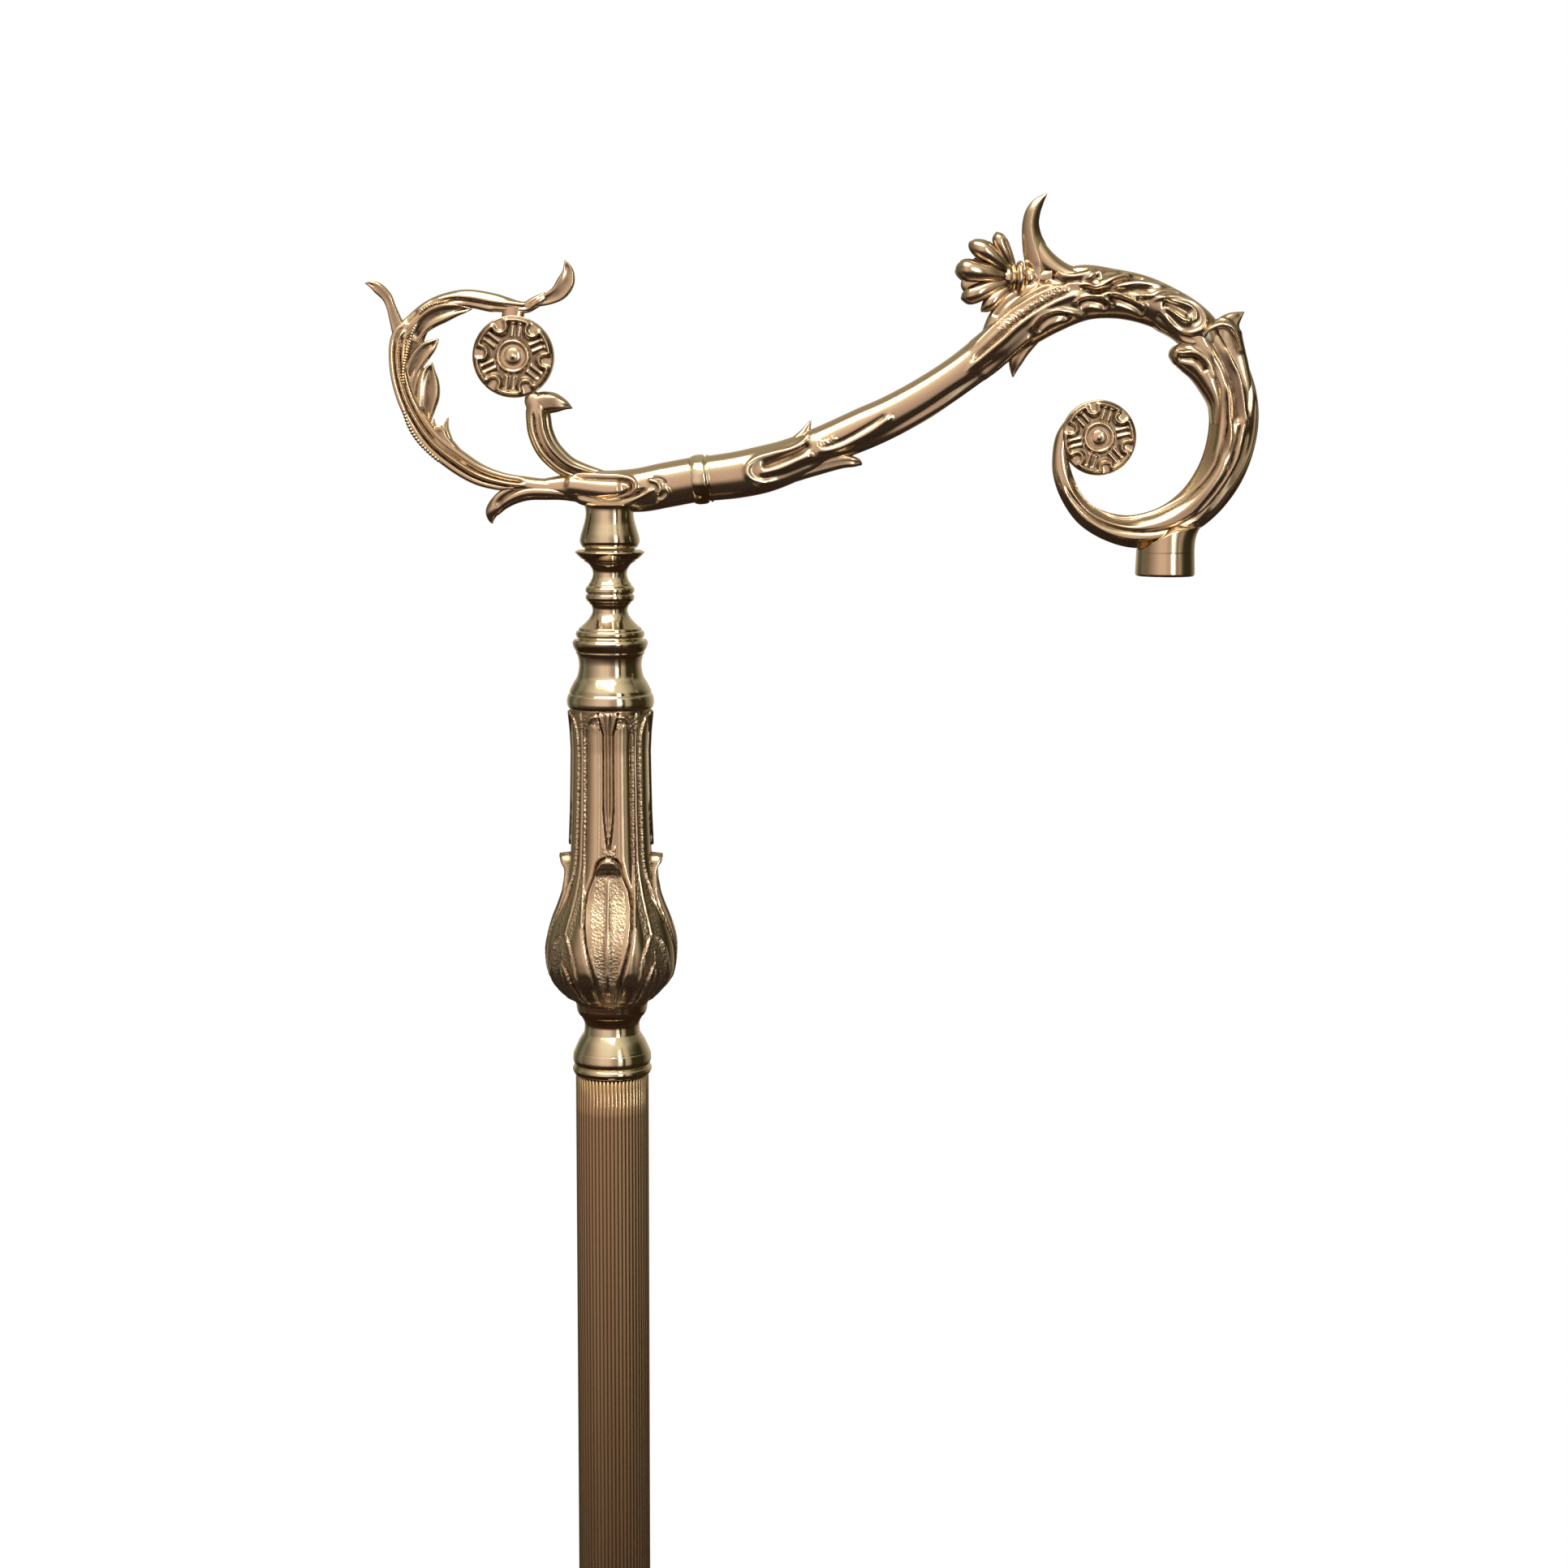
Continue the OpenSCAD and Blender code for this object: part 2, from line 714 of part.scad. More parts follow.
// The scroll is drawn from its joint; its drawing is stretched so that its tip is in place.
scroll_tip_x = -95.3;
scroll_k = (scroll_reach + scroll_joint_x) / (-scroll_tip_x + scroll_joint_x);

function on_scroll(p) =
    concat([scroll_joint_x + scroll_k * (p[0] - scroll_joint_x)], [for (i = [1:len(p) - 1]) p[i]]);
function all_on_scroll(list) = [for (p = list) on_scroll(p)];

scroll_stem = [
    [-14, 24.2, 5, 4.4], [-22, 24.4, 5, 4.4], [-33.6, 25.9, 4.2, 4.4], [-43.3, 27.3, 4.4, 4.4],
    [-53.1, 30.2, 4.9, 4.4], [-62.8, 35.5, 4.8, 4.3], [-71.5, 42.4, 4.4, 4.2], [-78.5, 51.4, 4.1, 4],
    [-82.8, 61.6, 4, 3.8], [-85, 72.6, 3.9, 3.7], [-84.6, 83.8, 3.8, 3.6], [-80, 90.2, 3.6, 3.4],
    [-73.6, 95.2, 3.2, 3.2], [-66, 98.2, 3.3, 3.1], [-57, 99, 3.5, 3], [-47, 97.4, 3.5, 3],
    [-38.4, 96.2, 2.6, 2.8], [-32.6, 96.2, 2.3, 2.6], [-28, 98, 2, 2.4], [-22, 101.4, 3, 2.2],
    [-17.4, 106, 3.1, 2], [-16, 110.4, 2.1, 1.6], [-18.5, 114.2, 0.4, 0.5]
];
scroll_curl = [
    [-15, 21, 3, 3.6], [-24, 21.6, 3.4, 3.8], [-32, 22.4, 3.6, 3.8], [-40.6, 22.2, 3.6, 3.6],
    [-46, 19.6, 3.4, 3.2], [-48.6, 15, 2.6, 2.6], [-48.2, 10.2, 0.4, 0.6]
];
scroll_spur = [
    [-83.4, 86.5, 2.8, 3], [-84.8, 92.4, 2.4, 2.6], [-86.8, 97.6, 2.2, 2.2],
    [-90, 101.8, 1.9, 1.9], [-93, 103.6, 1.3, 1.4], [-95.1, 104.2, 0.3, 0.5]
];
scroll_leaves = [
    [[-81, 79, 2, 2.4], [-77, 86.2, 2.8, 2.2], [-70.4, 91, 3.3, 1.8], [-63, 93.2, 2.5, 1.4],
        [-55.2, 94.6, 0.4, 0.5]],
    [[-82, 63.6, 2, 2.4], [-80.4, 71, 2.6, 2.2], [-77.2, 76.8, 3, 1.8], [-73, 80.4, 2.4, 1.4],
        [-69.6, 82.6, 0.4, 0.5]],
    [[-74.4, 49.4, 1.8, 2.6], [-73.8, 54.6, 3.8, 2.4], [-73.2, 61, 4.7, 2], [-72.8, 66.6, 4, 1.6],
        [-72, 72.4, 0.8, 0.6]],
    [[-72.4, 39, 2.2, 2.6], [-68, 42.4, 3, 2.2], [-66.6, 47, 1.9, 1.4], [-65.6, 51.8, 0.4, 0.5]],
    [[-73.4, 41, 1.8, 2.4], [-71.6, 45.6, 2, 1.8], [-71.2, 50.8, 0.4, 0.5]]
];
rear_rosette_at = [-37.9, 75.6];
rosette_lug = [[-39.6, 89.8], [-39.6, 95.6]];

module stud_hole() {
    translate([scroll_joint_x, 0, hub_axis_h - 1])
        rotate([0, 90, 0])
            cylinder(r = stud_r + spigot_gap, h = stud_len + 0.4, center = true, $fn = 24);
}

// The round room that a casting leaves for a rosette goes right through it
room_depth = 30;

module rosette_room(at, r) {
    translate([at[0], 0, at[1]])
        rotate([90, 0, 0])
            cylinder(r = r + fitted_gap, h = room_depth, center = true, $fn = round_fn);
}

module rear_scroll() {
    color("peru")
        translate([0, 0, seam_z])
            difference() {
                union() {
                    bar(all_on_scroll(scroll_stem), 10);
                    bar(all_on_scroll(scroll_curl), 8);
                    leaf(all_on_scroll(scroll_spur));
                    for (stations = scroll_leaves)
                        leaf(all_on_scroll(stations));
                    hull()
                        for (p = rosette_lug)
                            translate([p[0], 0, p[1]])
                                sphere(r = 2.4, $fn = ornament_fn);
                }
                translate([scroll_joint_x, -joint_trim, 0])
                    cube([joint_trim, 2 * joint_trim, 2 * joint_trim]);
                stud_hole();
                rosette_room(rear_rosette_at, rear_rosette_r);
            }
}

stud_r = 2;
stud_len = 13;

module scroll_stud() {
    color("silver")
        translate([scroll_joint_x, 0, seam_z + hub_axis_h - 1])
            rotate([0, 90, 0])
                cylinder(r = stud_r, h = stud_len, center = true, $fn = fine_fn);
}

// ---- Rosettes ---------------------------------------------------------------------------

rosette_lobes = 6;
rosette_relief = 0.9;

// Relief that both faces of a rosette carry: ring, paired ribs and a scalloped border
module rosette_relief_2d(r) {
    band = 0.055 * r;
    lobe_r = 0.24 * r;
    difference() {
        circle(r = 0.36 * r, $fn = fine_fn);
        circle(r = 0.27 * r, $fn = fine_fn);
    }
    for (i = [0:rosette_lobes - 1]) {
        rotate(360 * (i + 0.5) / rosette_lobes)
            for (side = [-1, 1])
                translate([0.42 * r, side * 0.09 * r - 0.03 * r])
                    square([0.34 * r, 0.06 * r]);
        rotate(360 * i / rosette_lobes)
            intersection() {
                translate([0.92 * r, 0])
                    difference() {
                        circle(r = lobe_r + band, $fn = fine_fn);
                        circle(r = lobe_r, $fn = fine_fn);
                    }
                circle(r = 0.97 * r, $fn = round_fn);
            }
        rotate(360 * (i + 0.5) / rosette_lobes)
            intersection() {
                difference() {
                    circle(r = 0.9 * r, $fn = round_fn);
                    circle(r = 0.84 * r, $fn = round_fn);
                }
                rotate(-13)
                    square([r, r]);
                rotate(-77)
                    square([r, r]);
            }
    }
}

module rosette(r) {
    core = rosette_t - 2 * rosette_relief;
    rotate([90, 0, 0]) {
        cylinder(r = r, h = core, center = true, $fn = round_fn);
        linear_extrude(rosette_t, center = true)
            rosette_relief_2d(r);
        for (side = [0, 180])
            rotate([side, 0, 0])
                translate([0, 0, core / 2 - 1])
                    intersection() {
                        sphere(r = 0.17 * r + 0.6, $fn = fine_fn);
                        cylinder(r = r, h = r, $fn = fine_fn);
                    }
    }
}

module rear_rosette() {
    color("peru")
        translate([rear_rosette_at[0], 0, seam_z + rear_rosette_at[1]])
            rosette(rear_rosette_r);
}

// ---- Joint between hub and arm ----------------------------------------------------------

nipple_in = 7;

module joint_ring() {
    half = ring_len / 2;
    outline = [
        [[9.2, -half], [9.3, -half + 0.4]],
        [[ring_r - 0.2, -half + 1], [ring_r, -half + 2.6], [ring_r, half - 3],
            [ring_r - 0.3, half - 1.8]],
        [[9, half - 1.4], [9, half - 1]],
        [[9.5, half - 0.8], [9.4, half]],
    ];
    color("goldenrod")
        translate([0, 0, seam_z])
            at_ring()
                turned(outline, rod_r + spigot_gap);
}

module joint_nipple() {
    color("silver")
        translate([0, 0, seam_z])
            at_ring()
                translate([0, 0, -ring_len / 2 - nipple_in + 0.2])
                    ring(rod_r, rod_bore_r, ring_len + 2 * nipple_in - 0.4);
}

// ---- Arm --------------------------------------------------------------------------------

// The arm is drawn from the middle of the ring and stretched along X to its reach.
nozzle_drawn_x = 186.2;
arm_k = (arm_reach - ring_x) / nozzle_drawn_x;

function on_arm(p) =
    concat([ring_x + arm_k * p[0], ring_h + p[1]], [for (i = [2:len(p) - 1]) p[i]]);
function all_on_arm(list) = [for (p = list) on_arm(p)];

arm_stations = [
    [0, 0, 9.1, 9.1], [7, 0.9, 9.1, 9.1], [14, 1.9, 9.3, 9.2], [24, 4, 9.3, 9.2], [33.5, 7.1, 8.8, 8.9],
    [43.1, 11.2, 8.2, 8.6], [53, 15.5, 8.1, 8.4], [64, 20.6, 8.2, 8.3], [75.3, 25.4, 8.2, 8.2],
    [88.2, 32.8, 8, 8.1], [100.9, 41.4, 7.7, 8], [112.1, 49.7, 7.8, 8], [123.2, 58.6, 8.6, 8.2],
    [135.9, 68, 10.3, 8.6], [148.7, 73.3, 10.4, 8.8], [161.5, 73.6, 9.8, 8.8], [172.8, 71.3, 9.2, 8.6],
    [183.2, 67.2, 8.5, 8.4], [193.1, 61.4, 8.4, 8.2], [201.7, 53.5, 8.8, 8], [207.8, 44.6, 9.7, 8],
    [211, 34, 10.2, 7.8], [212.3, 22.8, 10.1, 7.6], [210.4, 10.6, 9.6, 7.4], [205.6, -0.3, 9, 7.2],
    [197.4, -10.3, 8.2, 7], [186.6, -17.4, 7.4, 6.8], [174.6, -20.7, 6.7, 6.2], [163.8, -19.4, 5.6, 5.4],
    [154, -14.5, 4.6, 4.6], [147.3, -6.8, 4, 4], [143.5, 1.9, 3.8, 3.5], [142.4, 10, 3.1, 3.1],
    [143, 17, 2.5, 2.8], [145.4, 23.6, 1.4, 2.2]
];
calyx_top = [[26, 10, 3.2, 5], [34.5, 12.9, 3.2, 4.4], [39.6, 17.4, 2.5, 3], [43, 23.4, 0.4, 0.6]];
calyx_bottom = [[30, 0.2, 3, 5], [43, 4.5, 2.9, 4.6], [54.4, 7.2, 2.5, 3.6], [62.4, 7.2, 1.7, 2],
    [66, 5.6, 0.4, 0.6]];
horn_stations = [
    [127, 61, 8.6, 7], [131, 71, 9, 7], [135, 79, 7.8, 6.4], [134.2, 85.6, 6.6, 5.5],
    [131, 91.5, 5, 4.4], [128.9, 98, 3.7, 3.4], [128.9, 104.6, 2.9, 2.6],
    [130.8, 109.8, 1.9, 1.8], [135.2, 112.6, 0.4, 0.5]
];
lower_spur = [[132, 57, 3.4, 4], [126.2, 51.2, 3.2, 3], [123.9, 46.2, 2.4, 2.2], [122.9, 40.6, 0.4, 0.5]];
outer_spur = [[211, 39, 4, 5], [210.8, 48.6, 4.5, 5], [209.3, 56.4, 4.8, 5],
    [209.2, 62.4, 4.3, 4], [212, 66.8, 2, 2]];
inner_spur = [[204.6, 39, 3.4, 5], [200.4, 46.2, 3.8, 5], [194.6, 49.2, 4, 4.6],
    [189.8, 48.6, 3.6, 3.6], [187, 47.4, 2, 2]];

// Overlapping acanthus lobes on both faces of the crook: [x, z, radius] root and tip
acanthus = [
    [[147, 76.4, 2], [158, 78, 3.4]],
    [[157, 75.8, 2], [170, 76.4, 3.4]],
    [[168, 72.6, 2], [181, 72.8, 3.2]],
    [[174, 69, 2], [191, 63.8, 4]],
    [[143, 69.4, 1.6], [157, 69, 2.8]],
    [[157, 69.4, 1.6], [171, 67.4, 2.8]],
];

nozzle_top_h = -1;
nozzle_taper = 0.4;
neck_foot_h = 1.2;
neck_shift = 1.4;
neck_top_h = 3;
neck_slope = 24;
neck_draw = 1.8;
nozzle_spigot_r = 8;
nozzle_spigot_h = 4.5;
stub_h = 79.6;
stub_x = 129.9;
stub_r = 4.2;

module arm_solid() {
    bar(all_on_arm(arm_stations), 12);
    bar(all_on_arm(horn_stations), 8);
    leaf(all_on_arm(calyx_top));
    leaf(all_on_arm(calyx_bottom));
    leaf(all_on_arm(lower_spur));
    leaf(all_on_arm(outer_spur));
    leaf(all_on_arm(inner_spur));
    for (side = [-1, 1])
        for (lobe = acanthus)
            hull()
                for (p = all_on_arm(lobe))
                    translate([p[0], side * 6, p[1]])
                        sphere(r = p[2], $fn = ornament_fn);
    // Round foot of the crook, whose top slopes up along the crook's underside
    hull() {
        translate([arm_reach, 0, nozzle_top_h])
            cylinder(r = nozzle_r - nozzle_taper, h = neck_foot_h, $fn = 32);
        translate([arm_reach + neck_shift, 0, neck_top_h])
            rotate([0, -neck_slope, 0])
                cylinder(r = nozzle_r - neck_draw, h = neck_foot_h, $fn = 32);
    }
    translate([ring_x + arm_k * stub_x, 0, ring_h + stub_h])
        rotate([0, 90, 0])
            cylinder(r = stub_r, h = 8, $fn = 24);
}

module arm_casting() {
    color("peru")
        translate([0, 0, seam_z])
            difference() {
                arm_solid();
                at_ring()
                    translate([0, 0, ring_len / 2 - 30])
                        cylinder(r = 30, h = 30, $fn = 24);
                at_ring()
                    cylinder(r = rod_r + spigot_gap, h = ring_len / 2 + nipple_in, $fn = fine_fn);
                translate([arm_reach - trim_w / 2, -trim_w / 2, nozzle_top_h - trim_h])
                    cube([trim_w, trim_w, trim_h]);
                translate([arm_reach, 0, nozzle_top_h - 1])
                    cylinder(r = nozzle_spigot_r + spigot_gap, h = nozzle_spigot_h + 1.1, $fn = fine_fn);
                arm_wireway();
                shell_stud_hole();
                shell_room();
                rosette_room(front_rosette_at, front_rosette_r);
            }
}

// The cord way follows the middle of the arm and turns down into the nozzle
module arm_wireway() {
    middle = [for (i = [0:25]) [arm_stations[i][0], arm_stations[i][1]]];
    points = all_on_arm(middle);
    way = [for (p = points) [p[0], p[1], wireway_r, wireway_r]];
    bar(way, 8, 1);
    translate([arm_reach, 0, nozzle_top_h])
        cylinder(r = wireway_r, h = 10, $fn = 24);
    hull() {
        translate([way[25][0], 0, way[25][1]])
            sphere(r = wireway_r, $fn = ornament_fn);
        translate([arm_reach, 0, 8])
            sphere(r = wireway_r, $fn = ornament_fn);
    }
}

front_rosette_drawn = [158.4, 17.1];
front_rosette_at = on_arm([front_rosette_drawn[0], front_rosette_drawn[1]]);

module front_rosette() {
    color("peru")
        translate([front_rosette_at[0], 0, seam_z + front_rosette_at[1]])
            rosette(front_rosette_r);
}

// ---- Shell ornament ---------------------------------------------------------------------

stub_face_x = ring_x + arm_k * stub_x;
shell_x = stub_face_x;
shell_z = ring_h + stub_h;
tie_x = -7.2;
tie_w = 3.6;
tie_r = 6.2;
shell_stem_r = 3.6;
shell_stud_r = 1.5;
shell_stud_len = 10;

// Lobes from the tie to their round tips: [x, y, z, radius], drawn from the stub face
shell_lobes = [
    [-26, 0, 2.2, 4.2], [-20.6, 0, 12.4, 3.8], [-12.8, 0, 15.6, 2.8], [-24, 0, -8.4, 3.2],
    [-17, 0, -11.6, 2.6], [-24.4, -5.4, -2.8, 3.2], [-23, -5.4, 7.6, 3.2], [-16, -5, 12.4, 2.6],
    [-24.4, 5.4, -2.8, 3.2], [-23, 5.4, 7.6, 3.2], [-16, 5, 12.4, 2.6]
];

module shell_stud_hole() {
    translate([shell_x, 0, shell_z])
        rotate([0, 90, 0])
            cylinder(r = shell_stud_r + spigot_gap, h = shell_stud_len + 0.4, center = true, $fn = 24);
}

// The round room in the shoulder of the arm for the tie and the foot of the shell
module shell_room() {
    translate([shell_x - 12, 0, shell_z])
        rotate([0, 90, 0])
            cylinder(r = tie_r + 0.3, h = 12, $fn = 24);
}

module shell_ornament() {
    color("peru")
        translate([0, 0, seam_z])
            difference() {
                translate([shell_x, 0, shell_z]) {
                    for (tip = shell_lobes)
                        hull() {
                            translate([tie_x - tie_w / 2 - 2, tip[1] / 5, tip[2] / 8])
                                sphere(r = 1.8, $fn = ornament_fn);
                            translate([tip[0], tip[1], tip[2]])
                                sphere(r = tip[3], $fn = ornament_fn);
                        }
                    translate([tie_x - tie_w / 2 - 2, 0, 0])
                        rotate([0, 90, 0])
                            cylinder(r = shell_stem_r, h = 2 + tie_w / 2 - tie_x, $fn = fine_fn);
                }
                shell_stud_hole();
            }
}

module shell_tie() {
    half = tie_w / 2;
    outline = [
        [[4, -half], [4.6, -half + 0.4]],
        [[tie_r - 0.4, -half + 0.8], [tie_r, 0], [tie_r - 0.4, half - 0.8]],
        [[4.6, half - 0.4], [4, half]],
    ];
    color("goldenrod")
        translate([shell_x + tie_x, 0, seam_z + shell_z])
            rotate([0, 90, 0])
                turned(outline, shell_stem_r + spigot_gap);
}

module shell_stud() {
    color("silver")
        translate([shell_x, 0, seam_z + shell_z])
            rotate([0, 90, 0])
                cylinder(r = shell_stud_r, h = shell_stud_len, center = true, $fn = fine_fn);
}

// ---- Nozzle -----------------------------------------------------------------------------

nozzle_line = [
    [[nozzle_r - 0.5, 0], [nozzle_r, 0.5]],
    [[nozzle_r, 1], [nozzle_r - nozzle_taper, 9.4]],
];

module nozzle() {
    color("goldenrod")
        translate([arm_reach, 0, seam_z + nozzle_top_h - nozzle_h])
            difference() {
                union() {
                    turned(fitted_to(nozzle_line, nozzle_h), nozzle_bore_d / 2);
                    cylinder(r = nozzle_spigot_r, h = nozzle_h + nozzle_spigot_h, $fn = round_fn);
                }
                translate([0, 0, -1])
                    cylinder(d = nozzle_bore_d, h = nozzle_h + nozzle_spigot_h + 2, $fn = round_fn);
            }
}

felt_pad();
base_weight();
base_cover();
base_washer();
base_nut();
cord_bushing();
base_leaf_collar();
foot_socket();
foot_ferrule();
lower_centring_disc();
reeded_tube();
upper_centring_disc();
top_ferrule();
tube_coupler();
leaf_baluster();
baluster_cap();
lower_spool();
upper_spool();
column_nut();
centre_rod();
swivel_washer();
hub_boss();
hub_casting();
rear_scroll();
scroll_stud();
rear_rosette();
joint_ring();
joint_nipple();
arm_casting();
front_rosette();
shell_ornament();
shell_tie();
shell_stud();
nozzle();
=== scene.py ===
import math

import bpy
import numpy as np
from mathutils import Matrix, Vector


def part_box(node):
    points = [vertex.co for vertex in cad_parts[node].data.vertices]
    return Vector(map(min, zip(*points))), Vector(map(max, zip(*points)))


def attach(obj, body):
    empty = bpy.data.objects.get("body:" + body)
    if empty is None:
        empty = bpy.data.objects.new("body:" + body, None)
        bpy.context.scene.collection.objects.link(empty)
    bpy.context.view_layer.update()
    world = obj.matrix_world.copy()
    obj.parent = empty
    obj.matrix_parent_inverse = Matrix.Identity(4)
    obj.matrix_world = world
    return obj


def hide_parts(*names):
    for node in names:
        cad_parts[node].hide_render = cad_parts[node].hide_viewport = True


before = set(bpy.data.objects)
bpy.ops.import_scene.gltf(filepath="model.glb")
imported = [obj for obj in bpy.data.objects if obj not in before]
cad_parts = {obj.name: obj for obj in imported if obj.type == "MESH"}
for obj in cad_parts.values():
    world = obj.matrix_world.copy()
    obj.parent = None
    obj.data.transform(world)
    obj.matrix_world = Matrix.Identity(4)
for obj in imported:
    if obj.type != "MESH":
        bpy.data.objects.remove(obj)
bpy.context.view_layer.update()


# ---- Camera ----
# It stands a metre in front of the arm, a little to the right of the column and just above
# the swivel, and looks down a little.
camera_right = 0.0703
camera_back = 1.0459
camera_over_seam = 0.0424
camera_down = 7.5
camera_roll = 0.22


def box_mm(node):
    """Lowest and highest corner of a CAD node's box, in mm."""
    return [corner * 1000 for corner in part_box(node)]


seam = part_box("hub_boss")[0].z * 1000
camera = bpy.data.objects.new("camera", bpy.data.cameras.new("camera"))
bpy.context.scene.collection.objects.link(camera)
bpy.context.scene.camera = camera
camera.data.sensor_width = 36
camera.data.lens = 59.63
camera.matrix_world = (
    Matrix.Translation((camera_right, -camera_back, seam / 1000 + camera_over_seam))
    @ Matrix.Rotation(math.radians(90 - camera_down), 4, "X")
    @ Matrix.Rotation(math.radians(camera_roll), 4, "Z")
)


# ---- Floor and studio light ----
# A round pale floor that runs out into a white ground. The room round it is dim and olive,
# with a warm wall in front, a tall window in it, a pale ceiling and a few soft lamps.
def tone(sheet):
    """Linear colour of an sRGB hex value such as "#D9A883"."""
    part = np.array([int(sheet[i : i + 2], 16) for i in (1, 3, 5)]) / 255
    linear = np.where(part <= 0.04045, part / 12.92, ((part + 0.055) / 1.055) ** 2.4)
    return (*linear, 1)


def add(tree, kind, feeds=None, out=None, **settings):
    """Adds a node: settings are its properties, feeds its inputs as sockets or values. Gives
    the output called out, or else the first one in use."""
    node = tree.nodes.new(kind)
    for key, value in settings.items():
        setattr(node, key, value)
    for key, value in (feeds or {}).items():
        if isinstance(value, bpy.types.NodeSocket):
            tree.links.new(value, node.inputs[key])
        else:
            node.inputs[key].default_value = value
    if out:
        return node.outputs[out]
    return next((socket for socket in node.outputs if socket.enabled), None)


def blank_material(name):
    """A new material and its empty tree."""
    material = bpy.data.materials.new(name)
    material.use_nodes = True
    material.node_tree.nodes.clear()
    return material, material.node_tree


def put_mesh(name, points, faces, crease=None):
    """Mesh object from points in mm and a list of arrays of faces with equal corner counts.
    Edges that turn by more than crease degrees are sharp."""
    mesh = bpy.data.meshes.new(name)
    corners = np.concatenate([f.reshape(-1) for f in faces])
    sizes = np.concatenate([np.full(len(f), f.shape[1]) for f in faces])
    mesh.vertices.add(len(points))
    mesh.vertices.foreach_set("co", (points * 0.001).astype(np.float32).reshape(-1))
    mesh.loops.add(len(corners))
    mesh.loops.foreach_set("vertex_index", corners.astype(np.int32))
    mesh.polygons.add(len(sizes))
    mesh.polygons.foreach_set("loop_start", (np.cumsum(sizes) - sizes).astype(np.int32))
    mesh.polygons.foreach_set("use_smooth", np.ones(len(sizes), bool))
    mesh.update(calc_edges=True)
    if crease:
        mesh.set_sharp_from_angle(angle=math.radians(crease))
    piece = bpy.data.objects.new(name, mesh)
    bpy.context.scene.collection.objects.link(piece)
    return piece


FLOOR_R = 1900
FLOOR_RINGS = 24
FLOOR_SPOKES = 96


def studio_floor():
    """A flat disc: rings of points from the middle to the rim."""
    spoke = np.arange(FLOOR_SPOKES) * 2 * np.pi / FLOOR_SPOKES
    ring = np.linspace(1, FLOOR_R, FLOOR_RINGS)[:, None]
    flat = np.stack([ring * np.cos(spoke), ring * np.sin(spoke), 0 * ring + 0 * spoke], -1)
    a = np.arange(FLOOR_SPOKES)
    b = (a + 1) % FLOOR_SPOKES
    level = (np.arange(FLOOR_RINGS - 1) * FLOOR_SPOKES)[:, None]
    after = level + FLOOR_SPOKES
    quads = np.stack([a + level, a + after, b + after, b + level], -1)
    return put_mesh("studio_floor", flat.reshape(-1, 3), [quads.reshape(-1, 4), a[None, :]])


def pale_floor():
    """Pale matt paper that turns into the white ground towards the rim. Metal mirrors only
    what of it lies near, as if the paper were small, so the arm's underside stays dark."""
    material, tree = blank_material("pale_paper_floor")
    place = add(tree, "ShaderNodeNewGeometry")
    far = add(tree, "ShaderNodeVectorMath", {0: place}, operation="LENGTH")
    rim = add(tree, "ShaderNodeMapRange", {"Value": far, "From Min": 0.5, "From Max": 1.75},
              interpolation_type="SMOOTHSTEP")
    paper = add(tree, "ShaderNodeBsdfDiffuse", {"Color": tone("#DAD8D2")})
    ground = add(tree, "ShaderNodeEmission", {"Color": (1, 1, 1, 1), "Strength": 1})
    seen = add(tree, "ShaderNodeMixShader", {0: rim, 1: paper, 2: ground})
    glossy, way = (add(tree, "ShaderNodeLightPath", out=kind)
                   for kind in ("Is Glossy Ray", "Ray Length"))
    long_way = add(tree, "ShaderNodeMapRange", {"Value": way, "From Min": 0.06, "From Max": 0.45})
    hidden = add(tree, "ShaderNodeMath", {0: glossy, 1: long_way}, operation="MULTIPLY")
    dark = add(tree, "ShaderNodeEmission", {"Color": tone("#3A2617"), "Strength": 0.5})
    mixed = add(tree, "ShaderNodeMixShader", {0: hidden, 1: seen, 2: dark})
    add(tree, "ShaderNodeOutputMaterial", {"Surface": mixed})
    return material


floor = studio_floor()
floor.data.materials.append(pale_floor())


def soft_box(name, place, size, watts, colour):
    """Rectangular lamp at place (m) that faces the middle of the arm."""
    light = bpy.data.lights.new(name, "AREA")
    light.shape = "RECTANGLE"
    light.size, light.size_y = size
    light.energy = watts
    light.color = tone(colour)[:3]
    lamp = bpy.data.objects.new(name, light)
    bpy.context.scene.collection.objects.link(lamp)
    turn = (Vector((0.08, 0, 1.42)) - Vector(place)).to_track_quat("-Z", "Y")
    lamp.matrix_world = Matrix.Translation(place) @ turn.to_matrix().to_4x4()


soft_box("overhead_box", (-0.25, -0.75, 3), (1.5, 0.9), 20, "#FFF4E2")
soft_box("window_box", (0.9, -1.62, 1.75), (0.16, 0.9), 5, "#FFFDF6")


def banded(tree, value, stops):
    """Colour along a value: stops are (position, hex) and the colour runs evenly between."""
    colour = add(tree, "ShaderNodeValToRGB", {"Fac": value})
    bands = colour.node.color_ramp.elements
    for place, sheet in stops[1:-1]:
        bands.new(place).color = tone(sheet)
    bands[0].position, bands[0].color = stops[0][0], tone(stops[0][1])
    bands[-1].position, bands[-1].color = stops[-1][0], tone(stops[-1][1])
    return colour


